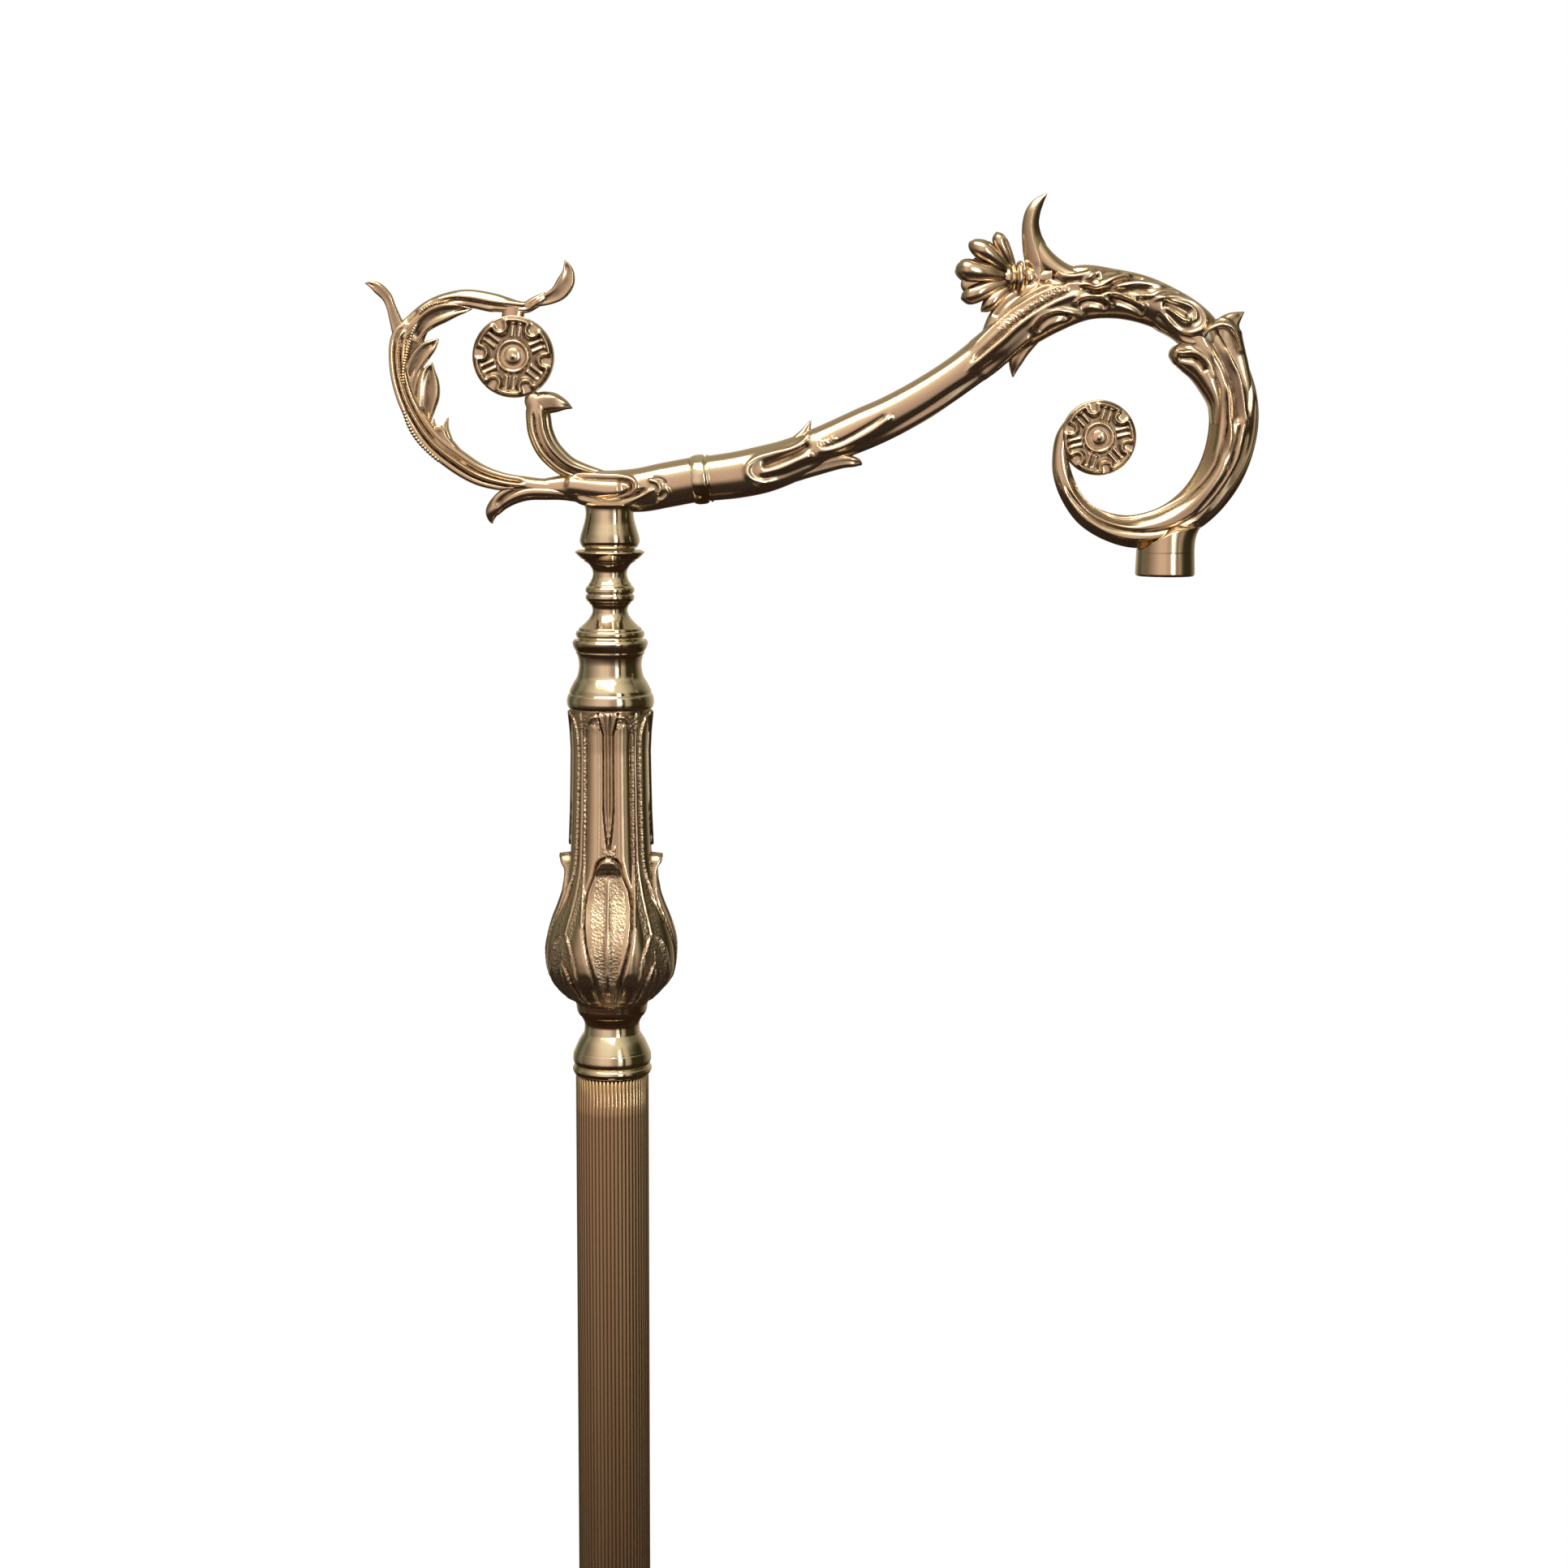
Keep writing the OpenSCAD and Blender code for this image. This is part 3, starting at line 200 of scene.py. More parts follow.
def studio_world():
    """White to the camera and the floor. To the metal it is a room: its wall's colour runs with
    the direction round it, from the left (0.25) past the wall in front of the lamp (0.5) to
    the right (0.75), and its ceiling and floor come in with height."""
    world = bpy.data.worlds.new("studio")
    bpy.context.scene.world = world
    world.use_nodes = True
    tree = world.node_tree
    tree.nodes.clear()
    ray = add(tree, "ShaderNodeTexCoord", out="Generated")
    x, y, z = (add(tree, "ShaderNodeSeparateXYZ", {0: ray}, axis) for axis in "XYZ")
    ahead = add(tree, "ShaderNodeMath", {0: y, 1: -1}, operation="MULTIPLY")
    turn = add(tree, "ShaderNodeMath", {0: x, 1: ahead}, operation="ARCTAN2")
    around = add(tree, "ShaderNodeMapRange", {"Value": turn, "From Min": -math.pi,
                                              "From Max": math.pi})
    wall = banded(tree, around, [
        (0, "#C4B7A4"), (0.07, "#B4A794"), (0.12, "#6C6756"), (0.16, "#4E4E40"),
        (0.21, "#75786A"), (0.25, "#665E50"),
        (0.3, "#8A7A6A"), (0.37, "#BBA79A"), (0.42, "#DEC6B6"), (0.485, "#DCC4B6"),
        (0.52, "#AE978C"), (0.555, "#9C877C"), (0.563, "#FFFBF0"), (0.59, "#FFFBF0"),
        (0.598, "#281808"), (0.616, "#2E1E0E"), (0.626, "#BCAC98"), (0.655, "#A4957F"),
        (0.68, "#302E1C"), (0.8, "#302E1C"), (0.86, "#7E7663"), (0.93, "#B4A794"),
        (1, "#C4B7A4")])
    ceiling = banded(tree, around, [
        (0, "#A89E88"), (0.25, "#8F8672"), (0.38, "#E9DCC4"), (0.5, "#F4EAD6"),
        (0.62, "#D9CDB4"), (0.75, "#6E6A58"), (1, "#A89E88")])
    up = add(tree, "ShaderNodeMapRange",
             {"Value": z, "From Min": 0.3, "From Max": 0.68},
             interpolation_type="SMOOTHSTEP")
    down = add(tree, "ShaderNodeMapRange",
               {"Value": z, "From Min": -0.1, "From Max": -0.5},
               interpolation_type="SMOOTHSTEP")
    over = add(tree, "ShaderNodeMix", {"Factor": up, 6: wall, 7: ceiling}, data_type="RGBA")
    full = add(tree, "ShaderNodeMix", {"Factor": down, 6: over, 7: tone("#2A1606")},
               data_type="RGBA")
    to_camera, to_matt = (add(tree, "ShaderNodeLightPath", out=kind)
                          for kind in ("Is Camera Ray", "Is Diffuse Ray"))
    plain = add(tree, "ShaderNodeMath", {0: to_camera, 1: to_matt}, operation="MAXIMUM")
    shown = add(tree, "ShaderNodeMix", {"Factor": plain, 6: full, 7: (1, 1, 1, 1)},
                data_type="RGBA")
    strength = add(tree, "ShaderNodeMapRange", {"Value": plain, "To Min": 1.05, "To Max": 1})
    ground = add(tree, "ShaderNodeBackground", {"Color": shown, "Strength": strength})
    add(tree, "ShaderNodeOutputWorld", {"Surface": ground})


studio_world()
bpy.context.scene.view_settings.view_transform = "Standard"


# ---- Base ----
# A spun brass cover over a cast iron weight, with felt under it. A nut and washer on the rod
# pull the column down on it, and the cord's bushing is in the back of its rim.
def smooth_line(points, step):
    """Curve through rows of numbers, with a new row about every step mm of the first two
    numbers. Each span is the cubic that has, at a point, the slope between its neighbours."""
    p = np.array(points, float)
    count = np.ceil(np.hypot(*np.diff(p[:, :2], axis=0).T) / step).astype(int)
    count = np.maximum(1, count)
    span = np.repeat(np.arange(len(count)), count)
    t = (np.arange(len(span)) - np.repeat(np.cumsum(count) - count, count)) / count[span]
    t = t[:, None]
    a, b, c, d = (p[np.clip(span + k, 0, len(p) - 1)] for k in (-1, 0, 1, 2))
    curve = (2 * b + (c - a) * t + (2 * a - 5 * b + 4 * c - d) * t**2
             + (3 * b - a - 3 * c + d) * t**3)
    return np.vstack([0.5 * curve, p[-1:]])


def skin(grid, ends=True):
    """Faces over a grid whose rows are closed rings. With ends, a point closes each end;
    without, the last ring joins the first."""
    rows, columns = grid.shape[:2]
    count = rows - 1 if ends else rows
    row = (np.arange(count) * columns)[:, None]
    k = np.arange(columns)
    after = (k + 1) % columns
    above = (row + columns) % (rows * columns)
    quads = np.stack([row + k, row + after, above + after, above + k], -1).reshape(-1, 4)
    points = grid.reshape(-1, 3)
    if not ends:
        return points, [quads]
    top = (rows - 1) * columns
    tips = np.array([grid[0].mean(0), grid[-1].mean(0)])
    first = np.stack([after, k, np.full(columns, rows * columns)], 1)
    last = np.stack([top + k, top + after, np.full(columns, rows * columns + 1)], 1)
    return np.vstack([points, tips]), [quads, np.vstack([first, last])]


def outward(points, faces):
    """The faces, turned over if the closed surface that they make is inside out: its volume
    is a sixth of the sum of the triple products of the corners of its triangles."""
    volume = 0
    for f in faces:
        a = points[f[:, 0]]
        for k in range(1, f.shape[1] - 1):
            volume += np.einsum("ij,ij->", a, np.cross(points[f[:, k]], points[f[:, k + 1]]))
    return faces if volume > 0 else [f[:, ::-1] for f in faces]


def put_skins(name, skins, marks=(), crease=None):
    """One mesh object from several closed grids. skins are (grid, ends, values), and marks
    the names of the values, each an array over the grid that becomes a point attribute. A
    skin without values has 0 for them all."""
    points, faces, columns = [], {3: [], 4: []}, [[] for _ in marks]
    total = 0
    for grid, ends, values in skins:
        these, parts = skin(grid, ends)
        for f in outward(these, parts):
            faces[f.shape[1]].append(f + total)
        for column, value in zip(columns, values or [np.zeros(1)] * len(marks)):
            column.append(np.resize(value.reshape(-1), len(these)))
        points.append(these)
        total += len(these)
    piece = put_mesh(name, np.vstack(points), [np.vstack(f) for f in faces.values() if f], crease)
    for mark, column in zip(marks, columns):
        layer = piece.data.attributes.new(mark, "FLOAT", "POINT")
        layer.data.foreach_set("value", np.concatenate(column).astype(np.float32))
    return piece


def carried_round(outline, sides):
    """Grid of an outline [radius, height] that is carried round the Z axis."""
    angle = np.arange(sides) * 2 * np.pi / sides
    r, z = outline[:, :1], outline[:, 1:]
    return np.stack([r * np.cos(angle), r * np.sin(angle), z + 0 * angle], -1)


TURNED_SIDES = 160
TURNED_STEP = 0.3
TURNED_CREASE = 55


def turned_grid(runs, bore, height=None, sides=TURNED_SIDES, step=TURNED_STEP):
    """Turned form round the Z axis. runs are outlines [radius, height] from the foot up, two
    points for a straight and more for a curve, and are closed through the bore. height
    stretches the drawing to that height."""
    line = np.vstack([smooth_line(run, step) for run in runs])
    if height:
        line[:, 1] *= height / line[-1, 1]
    return carried_round(np.vstack([[bore, line[0, 1]], line, [bore, line[-1, 1]]]), sides)


def stands_for(piece, node, body, material):
    """The piece takes a CAD node's place on a body, in a material."""
    piece.data.materials.append(material)
    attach(piece, body)
    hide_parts(node)


def put_turned(node, grid, body="stand"):
    """Polished turned piece in place of its CAD node."""
    piece = put_skins(node + "_turned", [(grid, False, ())], (), TURNED_CREASE)
    stands_for(piece, node, body, turned_brass)


def dress(material, *nodes):
    """Gives CAD pieces that are shown as they are a material."""
    for node in nodes:
        shown = bpy.data.objects[node]
        shown.data.materials.clear()
        shown.data.materials.append(material)


BRASS = "#E9DABD"
BRASS_WARM = "#E4CAAC"
BRASS_TONED = "#42240A"


def lacquered_turned_brass():
    """Brass off the lathe, polished and lacquered: cuts 0.25 mm apart run round it, faint
    enough to show only in highlights, and the lacquer has a soft cloud 30 mm across."""
    material, tree = blank_material("lacquered_turned_brass")
    place = add(tree, "ShaderNodeTexCoord", out="Object")
    cloud = add(tree, "ShaderNodeTexNoise", {"Vector": place, "Scale": 33, "Detail": 3})
    colour = add(tree, "ShaderNodeMix",
                 {"Factor": cloud, 6: tone("#F8F0D4"), 7: tone("#F2E0C2")},
                 data_type="RGBA")
    height = add(tree, "ShaderNodeSeparateXYZ", {0: place}, "Z")
    cuts = add(tree, "ShaderNodeTexNoise", {"W": height, "Scale": 4000, "Detail": 1},
               noise_dimensions="1D")
    lathe = add(tree, "ShaderNodeBump", {"Height": cuts, "Strength": 0.1, "Distance": 0.00006})
    haze = add(tree, "ShaderNodeTexNoise", {"Vector": place, "Scale": 120, "Detail": 4})
    dull = add(tree, "ShaderNodeMapRange", {"Value": haze, "From Min": 0.3,
                                            "From Max": 0.75, "To Min": 0.05, "To Max": 0.15})
    metal = add(tree, "ShaderNodeBsdfPrincipled",
                {"Base Color": colour, "Metallic": 1, "Roughness": dull,
                 "Normal": lathe})
    add(tree, "ShaderNodeOutputMaterial", {"Surface": metal})
    return material


def fine_grained(name, colours, roughness, scale, depth, metallic=0):
    """A plain material with a grain: two colours mixed by noise, whose bumps are depth m."""
    material, tree = blank_material(name)
    place = add(tree, "ShaderNodeTexCoord", out="Object")
    grain = add(tree, "ShaderNodeTexNoise", {"Vector": place, "Scale": scale, "Detail": 5})
    colour = add(tree, "ShaderNodeMix",
                 {"Factor": grain, 6: tone(colours[0]), 7: tone(colours[1])},
                 data_type="RGBA")
    dull = add(tree, "ShaderNodeMapRange",
               {"Value": grain, "To Min": roughness - 0.08,
                "To Max": roughness + 0.08})
    rough = add(tree, "ShaderNodeBump", {"Height": grain, "Strength": 0.5, "Distance": depth})
    body = add(tree, "ShaderNodeBsdfPrincipled",
               {"Base Color": colour, "Metallic": metallic, "Roughness": dull,
                "Normal": rough})
    add(tree, "ShaderNodeOutputMaterial", {"Surface": body})
    return material


turned_brass = lacquered_turned_brass()
# Pressed wool felt, sand-cast iron painted black, bright zinc plate on turned steel, and
# moulded black plastic
wool_felt = fine_grained("pressed_wool_felt", ("#1E3324", "#31503A"), 0.9, 900, 0.0006)
cast_iron = fine_grained("painted_cast_iron", ("#1C1C1D", "#2C2B2A"), 0.6, 500, 0.0008)
zinc_steel = fine_grained("zinc_plated_steel", ("#A9ABA6", "#C9C8BE"), 0.3, 260, 0.00008, 1)
black_plastic = fine_grained("moulded_black_plastic", ("#121212", "#1B1B1B"), 0.42, 1200, 0.00006)
dress(wool_felt, "felt_pad")
dress(cast_iron, "base_weight")
dress(zinc_steel, "base_washer", "base_nut")
dress(black_plastic, "cord_bushing")

COVER_SIDES = 256
cover_wall = 1.5
cover_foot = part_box("base_cover")[0].z * 1000
cover_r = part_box("base_cover")[1].x * 1000
bead = np.radians(np.arange(0, 91, 15))
cover_runs = [
    [[cover_r, cover_foot], [cover_r, 13]],
    np.stack([cover_r - 4 * (1 - np.cos(bead)), 13 + 4 * np.sin(bead)], 1),
    [[127, 17], [127, 19]],
    [[125, 19.6], [117, 21], [110, 24.5], [104, 30.5]],
    [[97, 30.5], [97, 33]],
    [[96, 33.5], [83, 38.5], [64, 43.5], [49.4, 48], [39.4, 53], [35.4, 58]],
    [[35.4, 61], [5.3, 61]],
]


def cover_grid():
    """The spun sheet: the outline up the outside, and back down at the wall's thickness."""
    line = np.vstack([smooth_line(run, 1) for run in cover_runs])
    inside = line[::-1] - [cover_wall, cover_wall]
    inside[:, 0] = np.maximum(inside[:, 0], line[-1, 0])
    inside[:, 1] = np.maximum(inside[:, 1], cover_foot)
    return carried_round(np.vstack([line, inside]), COVER_SIDES)


def drilled(piece, drill):
    """The piece with the drill's form cut out of it."""
    cut = piece.modifiers.new("hole", "BOOLEAN")
    cut.operation = "DIFFERENCE"
    cut.object = drill
    cut.solver = "EXACT"
    final = bpy.data.meshes.new_from_object(
        piece.evaluated_get(bpy.context.evaluated_depsgraph_get()))
    piece.modifiers.clear()
    piece.data = final
    bpy.data.objects.remove(drill)
    final.set_sharp_from_angle(angle=math.radians(TURNED_CREASE))
    return piece


cover = put_skins("base_cover_spun", [(cover_grid(), False, ())], (), TURNED_CREASE)
# The hole runs in from the rim at the back, under the bushing's lip
lip = 1.4
hole_r = box_mm("cord_bushing")[1].x - lip
hole_height, hole_in, hole_out = 8, -14, 6
bore = turned_grid([[[hole_r, hole_in], [hole_r, hole_out]]], 0.5, sides=48)
bore = np.stack([bore[..., 0], cover_r + bore[..., 2], bore[..., 1] + hole_height], -1)
drilled(cover, put_skins("cord_hole_drill", [(bore, False, ())]))
stands_for(cover, "base_cover", "stand", turned_brass)


# ---- Leaf collar of the base ----
# A brass casting round the foot of the column: eight leaves lean against a neck, each with a
# rolled rim and a vein. It is chased by hand, as all the castings of the lamp are.
def soft_step(t):
    """0 below 0 and 1 above 1, with a smooth S between."""
    t = np.clip(t, 0, 1)
    return t * t * (3 - 2 * t)


def bell(t):
    """A smooth bump, 1 at 0 and next to nothing beyond 2."""
    return np.exp(-t * t)


def nearest(u, v, line):
    """For points (u, v): signed distance from a polyline, share of the way along it, and the
    line's other columns there."""
    best = np.full(u.shape, 1e9)
    share, side = np.zeros(u.shape), np.ones(u.shape)
    extra = np.zeros((line.shape[1] - 2,) + u.shape)
    run = np.concatenate([[0], np.cumsum(np.hypot(*np.diff(line[:, :2], axis=0).T))])
    for i in range(len(line) - 1):
        (u0, v0), (du, dv) = line[i, :2], line[i + 1, :2] - line[i, :2]
        reach = max(du * du + dv * dv, 1e-12)
        t = np.clip(((u - u0) * du + (v - v0) * dv) / reach, 0, 1)
        off = (u - u0 - t * du) ** 2 + (v - v0 - t * dv) ** 2
        closer = off < best
        best = np.where(closer, off, best)
        share = np.where(closer, (run[i] + t * (run[i + 1] - run[i])) / run[-1], share)
        side = np.where(closer, np.sign((v - v0) * du - (u - u0) * dv), side)
        for k in range(len(extra)):
            value = line[i, 2 + k] + t * (line[i + 1, 2 + k] - line[i, 2 + k])
            extra[k] = np.where(closer, value, extra[k])
    return np.sqrt(best) * side, share, extra


def close_to(u, v, line, reach):
    """The points that lie within reach of the box round a line."""
    inside = (u > line[:, 0].min() - reach) & (u < line[:, 0].max() + reach)
    return inside & (v > line[:, 1].min() - reach) & (v < line[:, 1].max() + reach)


def chase(relief, u, v, points, width, height, taper=0.12):
    """Raises a line on relief, or cuts it where height is below 0: a bell of that half width
    across the curve through points, which fades over the taper at both ends."""
    line = smooth_line(points, 1)
    near = close_to(u, v, line, 3 * width)
    off, share, _ = nearest(u[near], v[near], line)
    fade = soft_step(np.minimum(share, 1 - share) / taper)
    relief[near] += height * fade * bell(off / width)


def lay_lobe(relief, u, v, spine, body, rim, vein=0, edge=0.6):
    """Lays a leaf lobe over relief. spine rows are [u, v, half width]. Across it the lobe is
    body high in the middle and rises as a fourth power to rim; a vein runs along its middle.
    Its side falls off over edge mm. Returns how far each point is inside."""
    line = smooth_line(spine, 0.8)
    near = close_to(u, v, line, line[:, 2].max() + edge)
    off, share, (half,) = nearest(u[near], v[near], line)
    across = np.abs(off) / np.maximum(half, 0.05)
    inside = soft_step((half - np.abs(off)) / edge + 0.5)
    shape = body + (rim - body) * np.minimum(across, 1) ** 4
    shape += vein * bell(off / 0.6) * soft_step(4 * share * (1 - share))
    relief[near] = relief[near] * (1 - inside) + shape * inside
    cover = np.zeros(u.shape)
    cover[near] = inside
    return cover


RECESS_CELLS = 3
RECESS_DEPTH = 0.4


def recess(relief):
    """How deep each point lies under its surroundings, from 0 to 1: the mean of relief over
    a square of cells, less relief, as a share of the full depth."""
    mean = relief
    for axis in (0, 1):
        shifts = range(-RECESS_CELLS, RECESS_CELLS + 1)
        mean = sum(np.roll(mean, k, axis) for k in shifts) / len(shifts)
    return np.clip((mean - relief) / RECESS_DEPTH, 0, 1)


def chased_cast_brass():
    """Sand-cast brass, chased and polished over its toned ground: recesses hold brown toning, and
    stippled bands have punch marks 1.1 mm apart. The same brown, where it is laid on the shell's
    drops and on the scroll's web, is painted shade."""
    material, tree = blank_material("chased_cast_brass")
    place = add(tree, "ShaderNodeTexCoord", out="Object")
    sunk = add(tree, "ShaderNodeAttribute", out="Fac", attribute_name="recess")
    dotted = add(tree, "ShaderNodeAttribute", out="Fac", attribute_name="stipple")
    cloud = add(tree, "ShaderNodeTexNoise", {"Vector": place, "Scale": 40, "Detail": 4})
    polished = add(tree, "ShaderNodeMix",
                   {"Factor": cloud, 6: tone(BRASS), 7: tone(BRASS_WARM)},
                   data_type="RGBA")
    fleck = add(tree, "ShaderNodeTexNoise", {"Vector": place, "Scale": 420, "Detail": 3})
    uneven = add(tree, "ShaderNodeMapRange", {"Value": fleck, "From Min": 0.3,
                                              "From Max": 0.7, "To Min": 0.7, "To Max": 1.1})
    toning = add(tree, "ShaderNodeMath", {0: sunk, 1: uneven},
                 operation="MULTIPLY", use_clamp=True)
    colour = add(tree, "ShaderNodeMix", {"Factor": toning, 6: polished, 7: tone(BRASS_TONED)},
                 data_type="RGBA")
    worn = add(tree, "ShaderNodeMath", {0: dotted, 1: 0.12, 2: 0}, operation="MULTIPLY_ADD")
    dull = add(tree, "ShaderNodeMapRange", {"Value": toning, "To Min": 0.2, "To Max": 0.42})
    rough = add(tree, "ShaderNodeMath", {0: dull, 1: worn}, operation="ADD")
    punches = add(tree, "ShaderNodeTexVoronoi", {"Vector": place, "Scale": 900})
    pits = add(tree, "ShaderNodeMath", {0: punches, 1: dotted}, operation="MULTIPLY")
    sand = add(tree, "ShaderNodeTexNoise", {"Vector": place, "Scale": 900, "Detail": 2})
    punched = add(tree, "ShaderNodeBump", {"Height": pits, "Strength": 0.55, "Distance": 0.0006})
    cast = add(tree, "ShaderNodeBump", {"Height": sand, "Strength": 0.03,
                                        "Distance": 0.0003, "Normal": punched})
    metal = add(tree, "ShaderNodeBsdfPrincipled",
                {"Base Color": colour, "Metallic": 1, "Roughness": rough,
                 "Normal": cast})
    add(tree, "ShaderNodeOutputMaterial", {"Surface": metal})
    return material


cast_brass = chased_cast_brass()
MARKS = ("recess", "stipple")


def sector_grid(levels, sides, count):
    """Heights and directions of a cast ring of count equal leaves, one of which faces the
    front. Gives the direction and, in degrees, the turn from the middle of the nearest leaf."""
    angle = np.arange(sides) * 2 * np.pi / sides
    sector = 360 / count
    off = (np.degrees(angle) + 90 + sector / 2) % sector - sector / 2
    return levels[:, None] + 0 * angle, 0 * levels[:, None] + angle, 0 * levels[:, None] + off


COLUMN_BORE = 7.5


def cast_ring(name, node, z, angle, radius, relief, stipple):
    """Closed casting round the column, and bored for the rod, in place of its CAD node. radius
    is given at each height over its foot and each direction."""
    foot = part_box(node)[0].z * 1000
    bore = 0 * radius[:1] + COLUMN_BORE
    r = np.vstack([bore, radius, bore])
    z, angle = np.vstack([z[:1], z, z[-1:]]), np.vstack([angle[:1], angle, angle[-1:]])
    grid = np.stack([r * np.cos(angle), r * np.sin(angle), z + foot], -1)
    sunk, dotted = (np.vstack([0 * m[:1], m, 0 * m[:1]]) for m in (recess(relief), stipple))
    piece = put_skins(name, [(grid, False, (sunk, dotted))], MARKS)
    stands_for(piece, node, "stand", cast_brass)


collar_foot, collar_top = (c.z * 1000 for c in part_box("base_leaf_collar"))
collar_h = collar_top - collar_foot
z, angle, off = sector_grid(np.linspace(0, collar_h, 100), 448, 8)
u = z / collar_h
ground = 31 * np.interp(u, [0, 0.12, 0.3, 0.5, 0.7, 0.88, 1],
                        [0.96, 0.95, 0.86, 0.7, 0.57, 0.505, 0.5])
half = 22.5 * np.sqrt(np.maximum(0, np.cos(np.pi / 2 * np.clip(u / 0.8, 0, 1))))
across = np.abs(off) / np.maximum(half, 0.5)
inside = soft_step((half - np.abs(off)) / 1.6 + 0.3) * soft_step((u - 0.02) / 0.05)
body = (0.7 + 0.8 * np.minimum(across, 1) ** 4 + 0.5 * bell(off / 1.6)
        + 0.9 * soft_step((u - 0.5) / 0.3))
relief = inside * body * soft_step((0.83 - u) / 0.03)
relief += 0.35 * bell((u - 0.92) / 0.03)
stipple = inside * (across < 0.72) * (np.abs(off) > 3)
cast_ring("base_collar_chased", "base_leaf_collar", z, angle, np.minimum(ground + relief, 31.3),
          relief, stipple.astype(float))


# ---- Foot of the tube ----
# A turned brass socket stands on the collar and takes the tube, which has a ring round its
# end.
def turned_on_column(node, runs, bore):
    """Turned piece of the column that takes its CAD node's place and height."""
    foot, top = (c.z * 1000 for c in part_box(node))
    put_turned(node, turned_grid(runs, bore, top - foot) + np.array([0, 0, foot]))


turned_on_column("foot_socket", [
    [[15.6, 0], [16.2, 0.8]],
    [[16.2, 1.6], [15.4, 3.4], [13, 5.4], [11.6, 8.4], [11.6, 11.4], [13.2, 14.4]],
    [[13.8, 15], [14.4, 15.6]],
    [[14.6, 16.4], [15.9, 18], [16.3, 20], [15.9, 22], [15.5, 22.8]],
    [[15.5, 23.4], [15.5, 24]],
], 5.3)
tube_low, tube_high = box_mm("reeded_tube")
tube_r = tube_high.x
ferrule_low, ferrule_high = box_mm("foot_ferrule")
ferrule_h = ferrule_high.z - ferrule_low.z
swell = np.radians(np.arange(-90, 91, 15))
ferrule_runs = [
    [[tube_r + 0.5, 0], [tube_r + 0.5, 0.02]],
    np.stack([ferrule_high.x - ferrule_h / 2 * (1 - np.cos(swell)),
              ferrule_h / 2 * (1 + np.sin(swell))], 1).clip([tube_r + 0.5, 0]),
    [[tube_r + 0.5, ferrule_h - 0.02], [tube_r + 0.5, ferrule_h]],
]
for node in ("foot_ferrule", "top_ferrule"):
    turned_on_column(node, ferrule_runs, tube_r + 0.05)


# ---- Reeded tube ----
# Drawn brass tube of 30 mm with fine round reeds all round. It is toned brown in the grooves
# between them, and polished on their crowns. Discs in its ends centre the rod.
def drawn_reeded_brass():
    """Drawn tube: fine die lines run along it, the grooves are dark, and the lacquer is
    browner than that of the castings."""
    material, tree = blank_material("drawn_reeded_brass")
    place = add(tree, "ShaderNodeTexCoord", out="Object")
    sunk = add(tree, "ShaderNodeAttribute", out="Fac", attribute_name="recess")
    long_way = add(tree, "ShaderNodeMapping", {"Vector": place, "Scale": (1, 1, 0.02)})
    die = add(tree, "ShaderNodeTexNoise", {"Vector": long_way, "Scale": 900, "Detail": 2})
    cloud = add(tree, "ShaderNodeTexNoise", {"Vector": long_way, "Scale": 160, "Detail": 2})
    crown = add(tree, "ShaderNodeMix",
                {"Factor": cloud, 6: tone("#E6CEA8"), 7: tone("#CBA681")},
                data_type="RGBA")
    colour = add(tree, "ShaderNodeMix", {"Factor": sunk, 6: crown, 7: tone("#2C1D12")},
                 data_type="RGBA")
    dull = add(tree, "ShaderNodeMapRange", {"Value": sunk, "To Min": 0.2, "To Max": 0.5})
    lines = add(tree, "ShaderNodeBump", {"Height": die, "Strength": 0.25, "Distance": 0.0001})
    metal = add(tree, "ShaderNodeBsdfPrincipled",
                {"Base Color": colour, "Metallic": 1, "Roughness": dull,
                 "Normal": lines})
    add(tree, "ShaderNodeOutputMaterial", {"Surface": metal})
    return material


REEDS = 56
REED_POINTS = 14
REED_DEEP = 0.62
TUBE_BORE = 13.1
TUBE_ROWS = 54


def tube_grid():
    """Straight tube: across each reed the radius follows a flattened arc, so that a reed is a
    round rib and the groove between two is narrow. Rows are 20 mm apart."""
    k = np.arange(REEDS * REED_POINTS)
    angle = k * 2 * np.pi / len(k)
    share = 2 * ((k / REED_POINTS) % 1) - 1
    dip = 1 - np.sqrt(1 - 0.96 * share**2)
    r = tube_r - REED_DEEP * dip
    z = np.linspace(tube_low.z, tube_high.z, TUBE_ROWS)[:, None]
    outside, inside = (
        np.stack([r * np.cos(angle) + 0 * z, r * np.sin(angle) + 0 * z, z + 0 * angle], -1)
        for r in (r, TUBE_BORE))
    sunk = np.clip((dip - 0.3) / 0.5, 0, 1)
    marks = np.vstack([0 * z + sunk, 0 * z + 0 * sunk])
    return np.concatenate([outside, inside[::-1]]), marks


tube_surface, tube_marks = tube_grid()
tube = put_skins("reeded_tube_drawn", [(tube_surface, False, (tube_marks,))], ("recess",))
stands_for(tube, "reeded_tube", "stand", drawn_reeded_brass())
dress(zinc_steel, "lower_centring_disc", "upper_centring_disc", "column_nut", "centre_rod")
# Washer of white nylon between the two halves of the swivel. Its dark brown is painted shade,
# standing for the shadow in the narrow gap between the boss and the spool
nylon_painted_shade = fine_grained("white_nylon_painted_shade", ("#4A3A28", "#5E4C36"), 0.45, 900, 0.00005)
dress(nylon_painted_shade, "swivel_washer")


# ---- Coupler ----
# Turned brass on top of the tube, with a bead, a waist and a neck.
turned_on_column("tube_coupler", [
    [[15.2, 0], [15.5, 0.5]],
    [[15.7, 0.9], [16, 2.2], [15.9, 4.2], [15.6, 5.4]],
    [[15.4, 5.6], [14.9, 6.9], [13.4, 10.2], [11.5, 13.2]],
    [[11.3, 14.6], [11.2, 16.4], [11.6, 18.2], [12.8, 20.4]],
    [[13.4, 20.8], [14.2, 22.4], [14.5, 24.2], [14.7, 25.6]],
], 7.5)


